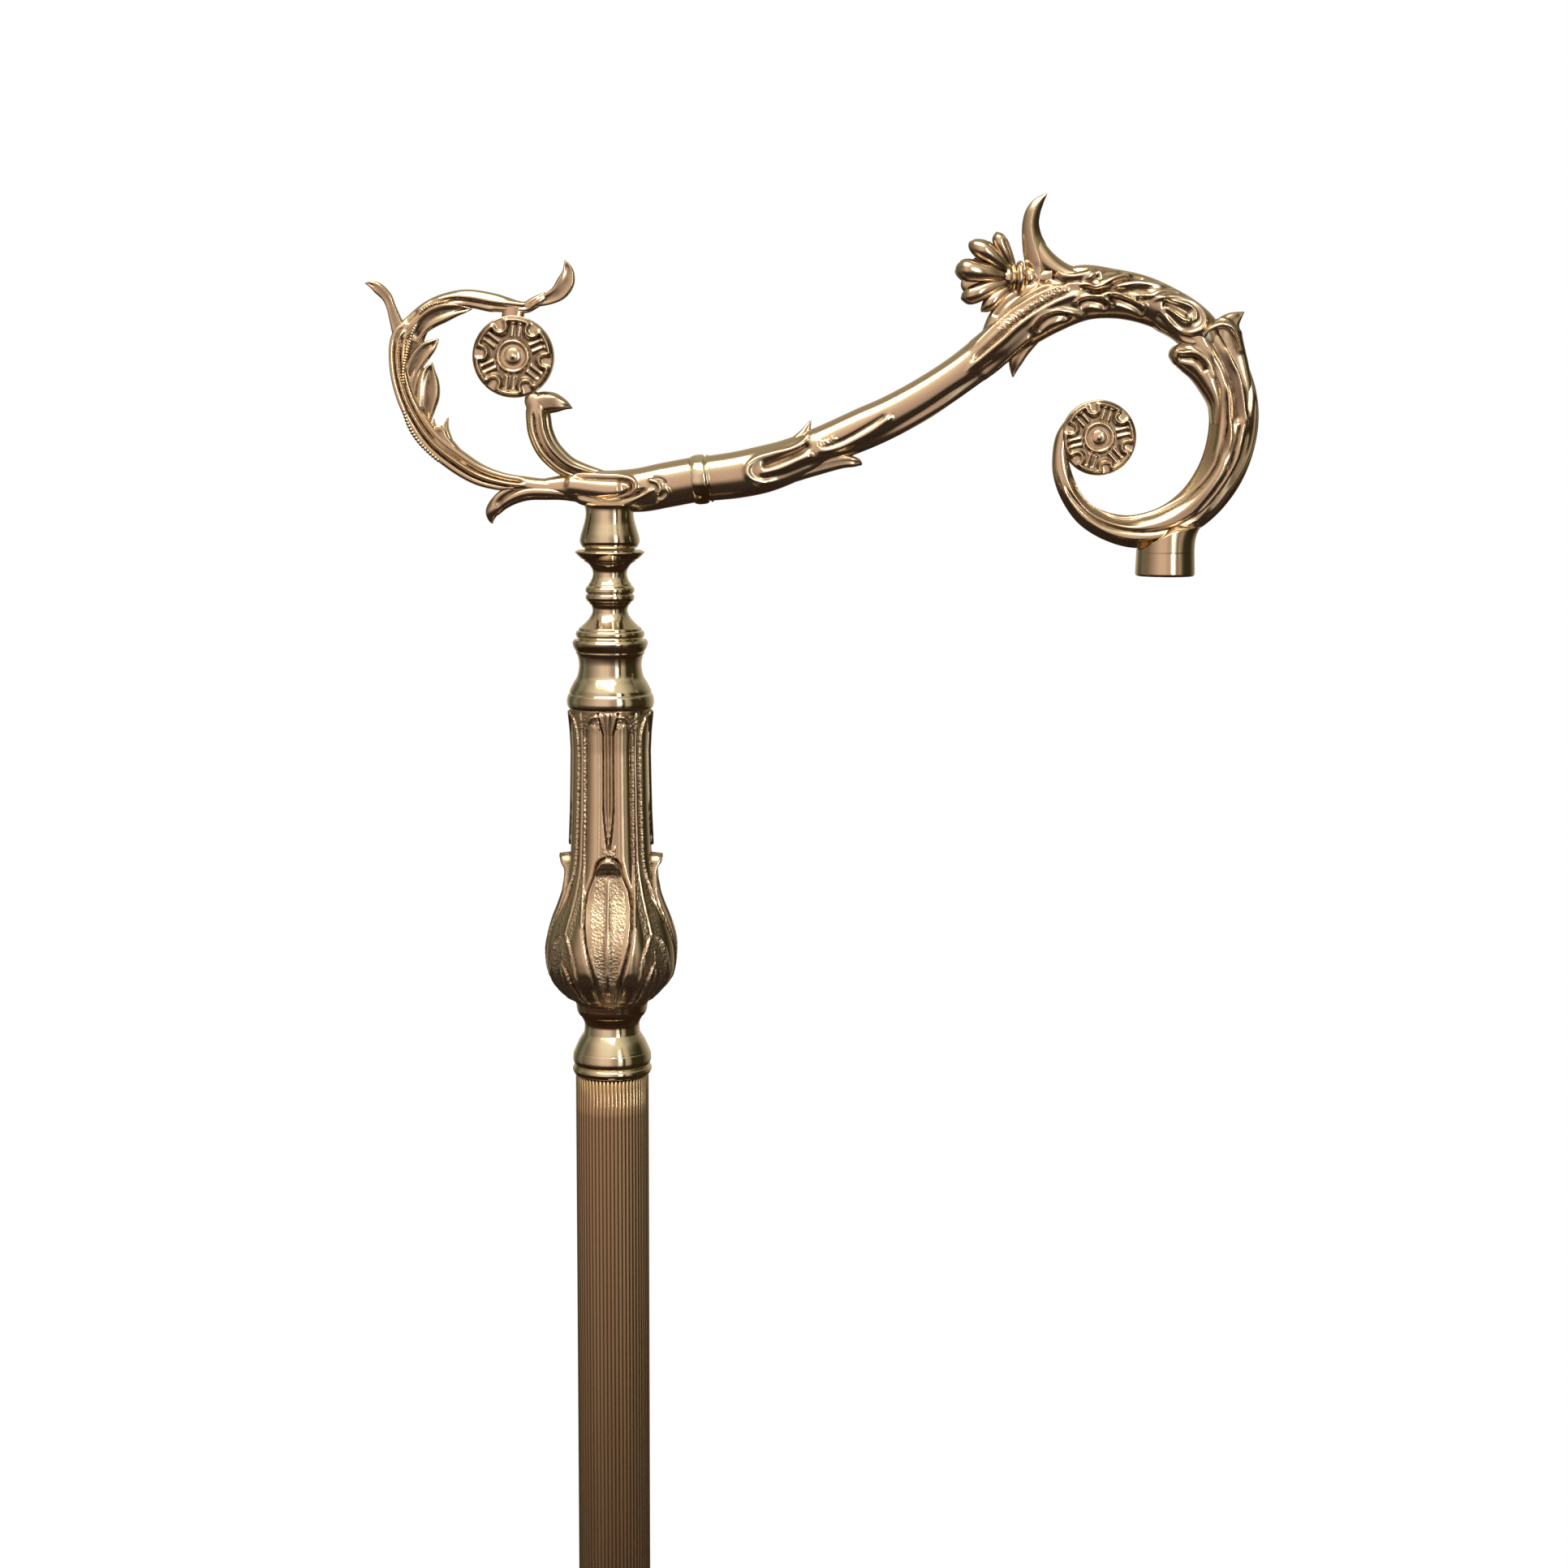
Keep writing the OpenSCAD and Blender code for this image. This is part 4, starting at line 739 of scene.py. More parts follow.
# ---- Leaf baluster ----
# One brass casting. Its shaft has spears and reeds under arches; four leaves stand out of it
# with curled tips; petals lie between them round the bulb.
baluster_foot, baluster_top = (c.z * 1000 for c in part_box("leaf_baluster"))
z, angle, off = sector_grid(np.linspace(0, baluster_top - baluster_foot, 260), 344, 4)
ground = np.interp(z, [0, 1.5, 4, 8, 12, 16.3, 20.4, 24.4, 28.4, 32.4, 36.4, 40.4, 46.4, 55.4, 60,
                       63, 65.4, 79.4, 92.4, 104.4, 112.4, 116.4, 121.4],
                   [14.7, 15.5, 18.7, 22.6, 25.3, 26.5, 26.8, 26.8, 26.2, 25, 23.6, 21.8, 19.5,
                    17.2, 16.5, 16.3, 16.2, 15.6, 15.3, 15.1, 15.5, 15.9, 16.4])
for _ in range(6):
    ground[1:-1] = (ground[:-2] + 2 * ground[1:-1] + ground[2:]) / 4
turn = np.abs(off)
arc = turn * np.pi / 180 * ground
relief = np.zeros(z.shape)
stipple = np.zeros(z.shape)

# The broad reed on both sides of the spear, round at its top, and the narrow one between
cap_fall = np.sqrt(np.clip(1 - (np.clip(z - 113, 0, 3) / 3) ** 2, 0, 1))
reed = np.clip(1 - (np.abs(turn - 23.5) / np.maximum(10.5 * cap_fall, 0.1)) ** 2, 0, 1) ** 0.5
relief += 0.75 * reed * (z < 116)
thin = np.clip(1 - (np.abs(turn - 45) / 3.4) ** 2, 0, 1) ** 0.5
relief += 0.6 * thin
# Stippled ground beside the reeds and over their round tops
beside = soft_step((turn - 33.5) / 1) * soft_step((41.5 - turn) / 1)
over = soft_step((turn - 11) / 2) * soft_step((z - 113) / 2)
stipple = np.maximum(beside, over * (1 - reed)) * soft_step((119.6 - z) / 0.6)
# The arch that goes up beside the reed, over it and down to the spear
chase(relief, arc, z, [[10.6, 34], [10.4, 60], [10.1, 84], [10.1, 106], [9.6, 113.5], [8, 117.6],
                       [5.4, 119.2], [3, 118.6], [2.2, 116]], 0.5, 1.15, 0.03)
# The spear: three fine ridges that come to a point below
spear = 6.2 * soft_step((z - 64.5) / 21) ** 0.6 + 0.8 * np.clip(z - 112, 0, 8)
in_spear = soft_step((spear - turn) / 0.9 + 0.4) * (spear > 0.2)
ridges = 0.75 + 0.45 * np.cos(2 * np.pi * turn / np.maximum(spear, 0.4))
relief = relief * (1 - in_spear) + in_spear * ridges
relief -= 0.95 * bell((turn - spear - 1.6) / 1.2) * (spear > 0.2)
stipple = np.maximum(stipple, soft_step((10.5 - turn) / 1.5) * soft_step((68 - z) / 3)
                     * (1 - in_spear))

# Petals round the bulb, a small one nested in a large one
petal_arc = (45 - turn) * np.pi / 180 * ground
petal = [[0, 31.6, 0.3], [0, 29.6, 3.2], [0, 26.6, 5.2], [0, 22, 7], [0, 16, 7.9], [0, 10, 7.6],
         [0, 4, 5.5]]
inner = [[0, 20, 0.3], [0, 18, 2.2], [0, 14.4, 3.7], [0, 9, 4.2], [0, 4, 3]]
cover = lay_lobe(relief, petal_arc, z, petal, 0, 2.2, 0, 0.8)
stipple = np.maximum(stipple * (1 - cover), cover * (petal_arc < 6) * 0.8)
cover = lay_lobe(relief, petal_arc, z, inner, 0.5, 2.3, 0.8, 0.7)
stipple = stipple * (1 - 0.5 * cover)

# The leaf that stands in front: rolled rim, stippled inside, a vein, and a curled tip
leaf_z = np.array([3.7, 9, 15.6, 22.3, 29, 35.6, 42.3, 49, 53.9, 57, 59.4, 61.2, 62.3])
leaf_half = np.array([2.6, 3.8, 5.2, 6.9, 8.3, 9.1, 9, 7.7, 5.6, 4.5, 3.8, 2.6, 0.4])
half = np.interp(z, leaf_z, leaf_half, 0, 0)
out = np.interp(z, [4, 12, 24, 36, 46, 55, 58.5, 61, 62.4],
                [0.2, 0.7, 1.2, 1.6, 1.9, 2.7, 3.9, 4.7, 4.6])
across = arc / np.maximum(half, 0.2)
inside = soft_step((half - arc) / 0.7 + 0.5) * (half > 0)
hollow = 1.9 * soft_step((58.4 - z) / 2.4) * soft_step((z - 6) / 14)
body = out - hollow * (1 - np.minimum(across, 1) ** 3)
body += 0.75 * bell(arc / 0.75) * soft_step((z - 8) / 10) * soft_step((56 - z) / 6)
relief = relief * (1 - inside) + inside * body
relief -= bell((arc - half - 0.8) / 0.8) * (half > 0) * soft_step((z - 10) / 8)
stipple *= 1 - inside
stipple += inside * soft_step((0.8 - across) / 0.1) * (z < 58) * (arc > 0.9)
ends = soft_step((z - 0.6) / 3) * soft_step((121 - z) / 1.2)
relief *= ends
cast_ring("leaf_baluster_chased", "leaf_baluster", z, angle, np.minimum(ground + relief, 27.7),
          relief, stipple * ends)


# ---- Cap and spools ----
# Three turned brass pieces above the baluster: a tall cap with a waist, and two small spools,
# one the mirror of the other. The upper spool carries the swivel's washer.
turned_on_column("baluster_cap", [
    [[16.7, 0], [17.1, 0.5]],
    [[17.4, 1.2], [17.6, 2.8], [17.2, 5], [16.7, 5.8]],
    [[16.5, 6], [16.3, 7.4], [14.9, 10.2], [13.4, 12.8], [12.7, 15.8], [12.6, 18], [13.1, 21],
     [13.6, 22]],
    [[13.8, 22.2], [13.9, 23.2], [14.2, 23.6], [14.9, 25], [15.2, 26.4]],
    [[15.2, 26.6], [14.6, 27.6]],
], 7.5)
turned_on_column("lower_spool", [
    [[13, 0], [13.1, 0.8]],
    [[13.6, 1.2], [13.8, 2.4], [13.5, 3.4]],
    [[12.7, 3.7], [12.6, 4.6]],
    [[11.9, 5], [10.2, 6.6], [8.4, 8.6], [7.2, 10.8], [7.1, 12.6], [7.7, 14.2]],
    [[8.2, 14.4], [8.6, 15.4]],
    [[9.2, 15.6], [9.8, 16.8], [9.6, 18]],
    [[9.2, 18.2], [9.1, 18.6]],
], 6.6)
turned_on_column("upper_spool", [
    [[9.1, 0], [9.4, 0.4]],
    [[9.8, 0.7], [9.8, 1.9], [9.2, 2.8]],
    [[8.8, 3], [8.4, 4]],
    [[7.9, 4.6], [7.1, 6.4], [6.8, 8], [7.2, 9.8], [8.4, 11.6], [9.6, 12.6]],
    [[10.2, 12.8], [10.6, 13.7]],
    [[11.4, 13.9], [12.8, 15.2], [13.9, 16.4]],
    [[13.8, 16.8], [12.6, 17.4]],
], 6.5)


# ---- Hub ----
# A turned brass neck turns on the column, and carries one casting: the root of the arm, with
# a teardrop chased on it, and a tendril that springs from it and takes the rear rosette.
put_turned("hub_boss", turned_grid([
    [[10.4, 0], [10.9, 0.3]],
    [[11.3, 0.8], [12, 2.6], [11.7, 4.8], [10.9, 7.6], [10.1, 10.4], [9.6, 13.2], [9.7, 15.5],
     [10.2, 17.2]],
], 5.2) + np.array([0, 0, seam]), "arm")


def slope_out(grid):
    """Unit normals of a grid of closed rings: the cross product of the way along it and the
    way round it, pointing away from the middle of each ring."""
    along = np.gradient(grid, axis=0)
    out = np.cross(along, np.roll(grid, -1, 1) - np.roll(grid, 1, 1))
    out /= np.maximum(np.linalg.norm(out, axis=-1, keepdims=True), 1e-9)
    away = grid - grid.mean(1, keepdims=True)
    return out * np.sign(np.sum(out * away) + 1e-12)


def bar_grid(stations, step=0.5, sides=120, square=0.9):
    """Bar along a line in the XZ plane. stations are [x, z, half height, half depth] in mm,
    z from the seam. Each ring is a rounded box between an oval and a square: the cosine and
    the sine of the way round it, raised to the power square. Returns the grid and, for each
    point, how far across the face it lies (1 on the left of the way along) and how far along
    the bar, in mm."""
    line = smooth_line(stations, step)
    run = np.gradient(line[:, :2], axis=0)
    run /= np.linalg.norm(run, axis=1, keepdims=True)
    angle = np.arange(sides) * 2 * np.pi / sides
    up, side = (np.sign(t) * np.abs(t) ** square for t in (np.cos(angle), np.sin(angle)))
    high = line[:, 2:3] * up
    x = line[:, :1] - run[:, 1:] * high
    z = line[:, 1:2] + run[:, :1] * high + seam
    grid = np.stack([x, -line[:, 3:4] * side, z], -1)
    length = np.concatenate([[0], np.cumsum(np.hypot(*np.diff(line[:, :2], axis=0).T))])
    shape = grid.shape[:2]
    return grid, np.broadcast_to(up, shape), np.broadcast_to(length[:, None], shape)


def raised(grid, relief):
    """The grid moved out by relief, which fades where the face turns into its edge."""
    out = slope_out(grid)
    return grid + out * (relief * soft_step((np.abs(out[..., 1]) - 0.05) / 0.3))[..., None]


def bar(stations, bands=(), lines=(), dots=(), flank=None, step=0.5, sides=120, square=0.9):
    """Chased bar as a skin. bands are lengthwise ridges (across, width, height, start, end),
    with across from -1 to 1, the width in the same measure, and the start and the end in mm
    along the bar; lines are chased (width, height, x, z, x, z, and so on), and dots are lines
    of stipple (width, x, z, and so on). flank (low, high, start, end) chamfers both sides, from
    across = low down and from across = high up, to a third of their depth."""
    grid, across, along = bar_grid(stations, step, sides, square)
    if flank:
        low, high, start, end = flank
        swell = soft_step((along - start) / 12) * soft_step((end - along) / 12)
        past = np.maximum((low - across) / (1 + low), (across - high) / (1 - high))
        grid[..., 1] *= 1 - 0.66 * swell * np.clip(past, 0, 1)
    x, z = grid[..., 0], grid[..., 2] - seam
    relief, stipple = np.zeros(x.shape), np.zeros(x.shape)
    for place, width, height, start, end in bands:
        swell = soft_step((along - start) / 5) * soft_step((end - along) / 5)
        relief += height * swell * bell((across - place) / width)
    for width, height, *points in lines:
        chase(relief, x, z, np.reshape(points, (-1, 2)), 1.15 * width, 0.85 * height)
    for width, *points in dots:
        chase(stipple, x, z, np.reshape(points, (-1, 2)), width, 1)
    return raised(grid, relief), True, (recess(relief), np.clip(stipple * 1.6, 0, 1))


LEAF_STEP = 0.55
LEAF_SIDES = 64


def leaf(spine, deep, hollow, rim=0.22, lines=(), square=0.75):
    """Cast leaf as a skin. spine rows are [x, z, half width], and deep is half its depth where
    it is widest. Inside a rim, which is a share of its half width, both faces fall into a
    round-bottomed hollow; lines are chased on them."""
    wide = np.array([row[2] for row in spine])
    stations = np.column_stack([spine, deep * np.sqrt(wide / wide.max())])
    grid, across, along = bar_grid(stations, LEAF_STEP, LEAF_SIDES, square)
    swell = soft_step(along / 4) * soft_step((along[-1, 0] - along) / 2.5)
    dish = np.clip(1 - (across / (1 - rim)) ** 2, 0, 1)
    relief = -hollow * swell * dish
    x, z = grid[..., 0], grid[..., 2] - seam
    for width, height, *points in lines:
        chase(relief, x, z, np.reshape(points, (-1, 2)), width, height)
    sunk = np.clip(recess(relief) + 0.3 * swell * dish, 0, 1)
    return raised(grid, relief), True, (sunk, 0 * relief)


def put_casting(name, node, skins):
    """A casting of several skins on the arm in place of its CAD node."""
    stands_for(put_skins(name, skins, MARKS), node, "arm", cast_brass)


hub_bar = bar([[-26, 24, 3.6, 4], [-19, 24.3, 4.7, 5], [-12, 24.3, 6.2, 6.4],
    [-5, 23.6, 7.3, 7.6], [3, 22.9, 8.1, 8.4], [12.6, 23.2, 8.8, 8.8], [22.4, 25.1, 9, 9],
    [33.4, 27.2, 9, 9.1]], lines=[
    (3.2, 1.3, -18, 25.6, -9, 24.4, -1, 23.4, 6, 23.8),
    (0.7, 0.9, -16, 29.6, -4, 29, 5, 28.6, 9.8, 27.2, 11, 24.6, 9.2, 21.8, 5, 20.2),
    (0.6, -1.1, -15, 28, -5, 27.5, 4, 27.2, 8.1, 26.2, 9, 24.5, 7.6, 22.5, 3.6, 20.9, -4, 19.8,
     -11, 20.8, -17, 22.8),
    (0.7, -1.2, -15, 21, -9, 19.7, -2, 18.6, 4.2, 19.2, 12, 22.2, 16, 24.4),
    (0.8, 1.1, -15, 19, -9, 17.6, -2, 16.4, 4.2, 17.2, 12, 20.4, 17.3, 23.4, 18.9, 25.6),
    (0.7, 1, 15.6, 27.4, 19.6, 26.2, 20.8, 23.6, 19.4, 21.4),
    (0.7, 1, 22.4, 24.8, 23.9, 22.3, 22, 19.8, 19, 19.2),
    (0.5, -0.7, 17.6, 28.4, 21.6, 27.6, 23.4, 25.6)], sides=160, step=0.4)
tendril = bar([[5, 28.2, 1.2, 3.4], [-1.9, 28.2, 2.6, 4.4], [-10, 29.8, 3.7, 5.2],
    [-16, 31.9, 4.3, 5.2], [-20.6, 35.2, 4.7, 5], [-24.8, 40, 5, 4.8], [-27.4, 46.1, 5.1, 4.6],
    [-28.2, 52, 5, 4.3], [-28.8, 56.4, 4.5, 3.9], [-30.6, 59.4, 3.6, 3], [-31.6, 61, 2.2, 2]],
    bands=[(0.34, 0.13, -1.5, 4, 49), (-0.3, 0.16, 0.9, 4, 50), (-0.74, 0.18, -1, 6, 50)],
    sides=96, step=0.4)
tendril_tip = leaf([[-30.6, 53.4, 3], [-27.6, 56.8, 4.6], [-23.9, 57.6, 4.4], [-20.6, 57.3, 3.6],
    [-17.4, 56.6, 2], [-14.6, 55.4, 0.2]], 4.2, 0.5, 0.5, square=1.1)
put_casting("hub_chased", "hub_casting", [hub_bar, tendril, tendril_tip])


# ---- Rear scroll ----
# A brass casting screwed to the hub: a C of ribs, with milled beads on them, whose inside is
# covered by hollow leaves. Its top ends in a leaf, its foot in a curl and its back in a spur.
stem = bar([[-18.5, 24, 3.8, 4.4], [-26, 24.2, 3.4, 4.3], [-32.8, 24.9, 3.4, 4.3],
    [-42.7, 26.2, 3.7, 4.4], [-52.4, 29.2, 4.4, 4.4], [-61.9, 35.1, 4.8, 4.3],
    [-70.2, 42, 4.5, 4.2], [-76.6, 51, 4.2, 4], [-81.2, 61.2, 4, 3.8], [-83.4, 72.1, 3.9, 3.7],
    [-82.6, 82.6, 3.9, 3.4], [-77, 89, 3.6, 2.8], [-71.4, 94.1, 3.2, 2.5],
    [-64.5, 97.2, 3.2, 2.6], [-55.8, 98.4, 3.5, 3], [-45.4, 96.8, 3.6, 3],
    [-36.1, 95.2, 2.4, 2.8], [-32.3, 95.1, 2.3, 2.6], [-28, 97.3, 2, 2.4], [-25, 99, 1.2, 1.6]],
    bands=[(0.72, 0.16, 0.7, 20, 106), (0.36, 0.12, -1.3, 18, 106), (0.04, 0.16, 0.8, 14, 106),
           (-0.34, 0.13, -1.2, 14, 102), (-0.74, 0.18, 0.6, 14, 70)],
    lines=[
    (0.8, -1.1, -71, 95.2, -66, 96.4, -60, 97.4, -53.3, 96.4, -43.4, 95, -34.8, 94.8, -29, 96.8),
    (0.9, 0.5, -70, 96.9, -62, 98.9, -54, 98.6, -45, 96.9, -36.4, 96),
    (0.8, 0.5, -66, 94.4, -59.6, 95.1, -52.4, 94.2, -44, 93.4),
    (0.8, -0.8, -80.2, 88.6, -77.6, 91.4, -75.4, 93.8)], sides=128, step=0.6)


def milled_bead(points, r, pitch):
    """A round bead along the face, with a dent at every pitch, on both faces of the scroll."""
    line = smooth_line(points, 0.22)
    length = np.concatenate([[0], np.cumsum(np.hypot(*np.diff(line[:, :2], axis=0).T))])
    dent = 1 - 0.42 * (0.5 - 0.5 * np.cos(2 * np.pi * length / pitch)) ** 2
    ends = np.sqrt(np.clip(np.minimum(length, length[-1] - length) / 2, 0.02, 1))
    size = r * dent * ends
    grid, _, _ = bar_grid(np.column_stack([line[:, :2], size, size]), 1, 10, 1)
    depth = line[:, 2][:, None, None] * [0, 1, 0]
    return [(grid + side * depth, True, ()) for side in (-1, 1)]


beads = [
    *milled_bead([[-81.7, 55.6, 3.1], [-80.2, 50.4, 3.1], [-78.2, 45.9, 3.1], [-75.4, 41.9, 3.2],
        [-72.6, 38.9, 3.3], [-69.4, 36, 3.3], [-66.4, 33.6, 3.3]], 0.95, 1.35),
    *milled_bead([[-75.6, 88.2, 3.4], [-77.3, 85.1, 3.4], [-78.6, 80.9, 3.3], [-79.6, 77.4, 3.2],
        [-80.7, 73.1, 3.3], [-81.3, 68.9, 3.5], [-81.1, 63.9, 3.6]], 0.75, 1.1),
    *milled_bead([[-74.9, 91.8, 3], [-72.9, 94, 3], [-69.6, 95.8, 2.9], [-64.6, 97, 2.8]],
                 0.75, 1.1),
]
web = bar([[-72.6, 44, 2.6, 1.4], [-75.8, 50, 4.4, 1.6], [-77.2, 58, 5.2, 1.6],
    [-78.2, 67, 5, 1.6], [-78.6, 75, 4.6, 1.6], [-77.8, 82, 4.4, 1.6], [-74.6, 88.6, 4.2, 1.6],
    [-69, 93, 3.6, 1.6], [-61.5, 95.8, 2.6, 1.5], [-55, 96.4, 1.2, 1]], sides=48)
# Painted shade: the web lies deep behind the leaves inside the C, and is coloured nearly the full
# toned brown all over to stand for the shade there
web[2][0][:] = 0.85
lug = bar([[-38.2, 87.4, 4.8, 2.4], [-38, 91.4, 4.4, 2.4], [-37.4, 95.4, 4.6, 2.2]], sides=48)
curl = bar([[-10.4, 20.4, 2.6, 3.4], [-18.1, 22.3, 3.4, 4.2], [-25.3, 22.9, 3.9, 4.5],
    [-32.5, 22.8, 4, 4.5], [-38.3, 21, 3.7, 4.2], [-43.3, 18.4, 3.6, 3.7], [-46.8, 14.5, 2.9, 3],
    [-47.4, 11.3, 1.4, 1.6], [-46.9, 9.6, 0.2, 0.3]], lines=[
    (0.7, 0.8, -14, 24.3, -18.8, 25.2, -25.3, 26.1, -32.5, 26, -38.8, 24.1, -44, 21.2, -48, 16.6),
    (0.7, -1.2, -14, 22.6, -18.8, 23.7, -25.3, 24.4, -32.5, 24.3, -38.3, 22.5, -42.6, 19.6,
     -45.4, 15.6),
    (1.6, 0.5, -14, 20.4, -20, 21.4, -27, 22, -34, 21.4, -39.6, 18.9, -43.4, 15.2)], sides=96)
put_casting("rear_scroll_chased", "rear_scroll", [stem, web, curl, lug, *beads])

scroll_leaves = [
    leaf([[-77.4, 81.4, 1.8], [-75.8, 84.8, 2.7], [-73.2, 88.6, 3.7], [-69.6, 91.2, 4.1],
        [-65.5, 92.8, 3.9], [-61, 93.8, 2.8], [-57.4, 94.1, 1.6], [-54.2, 94.3, 0.3]], 4, 1.7),
    leaf([[-79.7, 61.5, 1.2], [-78.6, 68.5, 2.5], [-76.2, 73.9, 3.4], [-73.2, 77.6, 3.3],
        [-70.4, 80, 2.4], [-67.6, 82.4, 0.3]], 3.1, 1.4),
    leaf([[-78.6, 58.6, 1.2], [-78, 63.9, 1.8], [-76.6, 68.9, 1.8], [-74, 72.8, 0.3]], 2.6, 0.8),
    leaf([[-72.8, 47.6, 0.8], [-73, 51.9, 2.7], [-72.7, 56.2, 4], [-72.1, 60.4, 4.7],
        [-71.8, 64.7, 4.4], [-71.5, 68.9, 3.1], [-70.7, 72, 1.2], [-70.2, 73.4, 0.2]], 3, 1.6),
    leaf([[-57, 32.5, 2.6], [-63, 37.9, 3.6], [-66.6, 42.6, 3.5], [-67.6, 46.6, 2.8],
        [-67.5, 48.4, 1.6]], 4.1, 0.7),
    leaf([[-69.8, 41, 1.4], [-70.4, 45, 1.6], [-70.3, 48.4, 1.2], [-70, 51.2, 0.2]], 3.2, 0.5),
    leaf([[-62.6, 38.2, 1.8], [-64.5, 43, 1.9], [-65.2, 47.2, 1.3], [-64.2, 51.6, 0.2]], 3.2, 0.6),
    leaf([[-82.6, 79, 2.2], [-83.2, 85.5, 2.9], [-84.9, 91, 2.3], [-86.3, 95.2, 1.9],
        [-88, 99, 2.1], [-91.4, 102.3, 2.2], [-94.2, 103.7, 1.2], [-96.3, 104.1, 0.2]],
         3.2, 0.7, 0.2),
    leaf([[-28.6, 96.9, 1.8], [-23.4, 98.6, 2.5], [-19.4, 101.1, 3.3], [-16.9, 104.9, 3.5],
        [-16, 108.6, 2.5], [-16.5, 111.5, 1.3], [-17.3, 113.7, 0.1]], 2.3, 0.9, 0.2),
    leaf([[-33, 95.4, 1.6], [-30, 96.6, 2.1], [-27.4, 98.4, 1.7], [-25.2, 100.8, 0.3]],
         2.6, 0.3, 0.5),
]
put_casting("rear_scroll_leaves_chased", "rear_scroll", scroll_leaves)
dress(zinc_steel, "scroll_stud")


# ---- Rear rosette ----
# A cast brass disc held between the tendril and the scroll, the same on both faces: a button
# in a ring, six pairs of ribs, and six scallops cut into its border.
def rosette_relief(r, rho, theta, first):
    """Height of a rosette's face at a distance from its middle and a direction, in mm, with
    how far each point is stippled and toned. first is the direction of the first scallop in
    degrees. A raised line runs round at 0.88 r and turns inwards round each scallop, a U open
    to the border: within is the soft minimum of the distances inside the two."""
    theta = (theta - math.radians(first)) % (np.pi / 3)
    theta = np.minimum(theta, np.pi / 3 - theta)
    x, y = rho * np.cos(theta), rho * np.sin(theta)
    border, scallop = 0.88 * r - rho, np.hypot(np.minimum(x - 0.8 * r, 0), y) - 0.17 * r
    soft = 0.035 * r
    within = np.minimum(border, scallop)
    within -= soft * np.log(np.exp(-(border - within) / soft) + np.exp(-(scallop - within) / soft))
    rim = soft_step(0.5 - within / (0.05 * r))
    height = 0.15 * rim + 1.25 * bell(within / (0.06 * r)) - 0.6 * (1 - rim) * (rho / r) ** 2
    spoke = np.abs(rho * np.sin(np.pi / 6 - theta))
    length = soft_step((rho / r - 0.46) / 0.04) * soft_step((0.84 - rho / r) / 0.03)
    rib = bell((spoke - 0.085 * r) / (0.05 * r))
    height += length * 0.7 * rib
    ring = np.clip((rho / r - 0.37) / 0.055, -1, 1)
    height += 1.15 * np.sqrt(1 - ring**2)
    height += np.sqrt(np.clip(1 - (rho / (0.21 * r)) ** 2, 0, 1))
    height += 0.4 * bell(rho / (0.05 * r))
    ground = (1 - rim) * soft_step((rho / r - 0.42) / 0.04) * (1 - rib)
    return height, 0.15 * rim * (rho < 0.97 * r), 0.6 * ground


def middle(node):
    """Middle of a CAD node's box seen from the front: x and z in mm."""
    low, high = box_mm(node)
    return (low.x + high.x) / 2, (low.z + high.z) / 2


ROSETTE_SIDES = 300
ROSETTE_RINGS = 84


def put_rosette(name, node, first):
    """Closed disc from the middle of one face, over the rim, to the middle of the other."""
    low, high = box_mm(node)
    (middle_x, middle_z), r, half = middle(node), (high.x - low.x) / 2, (high.y - low.y) / 2
    angle = np.arange(ROSETTE_SIDES) * 2 * np.pi / ROSETTE_SIDES
    face = np.linspace(0.15, r - 0.5, ROSETTE_RINGS)[:, None] + 0 * angle
    height, dotted, toned = rosette_relief(r, face, 0 * face + angle, first)
    toned = np.clip(toned + recess(height), 0, 1)
    core = half - 1.4
    lip = np.radians(np.arange(10, 91, 20))[:, None]
    lip_r = r - 0.5 + 0.5 * np.sin(lip) + 0 * angle
    rho = np.vstack([face, lip_r, lip_r[::-1], face[::-1]])
    lip_y = core - 0.5 + 0.5 * np.cos(lip) + 0 * angle
    depth = np.vstack([core + height, lip_y, -lip_y[::-1], -(core + height)[::-1]])
    grid = np.stack([middle_x + rho * np.cos(angle), -depth, middle_z + rho * np.sin(angle)], -1)
    flat = np.zeros(lip_r.shape)
    sunk, dots = (np.vstack([m, flat, flat, m[::-1]]) for m in (toned, dotted))
    put_casting(name, node, [(grid, True, (sunk, dots))])


put_rosette("rear_rosette_chased", "rear_rosette", -7)


# ---- Joint ----
# A turned brass ring, threaded on a steel nipple between the hub and the arm.
ring_tilt = math.radians(7)
ring_half = 3.9
ring_r = 9.9


def laid_over(grid, tilt, centre):
    """A turned form whose axis is laid over to X and tilted up."""
    x, y, z = grid[..., 0], grid[..., 1], grid[..., 2]
    along = z * math.cos(tilt) - x * math.sin(tilt)
    above = z * math.sin(tilt) + x * math.cos(tilt)
    return np.stack([centre[0] + along, y, centre[1] + above], -1)


ring_grid = turned_grid([
    [[9, -ring_half], [9.3, -ring_half + 0.4]],
    [[ring_r - 0.4, -ring_half + 0.8], [ring_r, -ring_half + 2.4], [ring_r, ring_half - 3],
     [ring_r - 0.3, ring_half - 1.9]],
    [[9, ring_half - 1.6], [8.9, ring_half - 1.1]],
    [[9.4, ring_half - 0.9], [9.5, ring_half - 0.5], [9.3, ring_half]],
], 5.1, step=0.2)
put_turned("joint_ring", laid_over(ring_grid, ring_tilt, middle("joint_ring")), "arm")
dress(zinc_steel, "joint_nipple", "shell_stud")


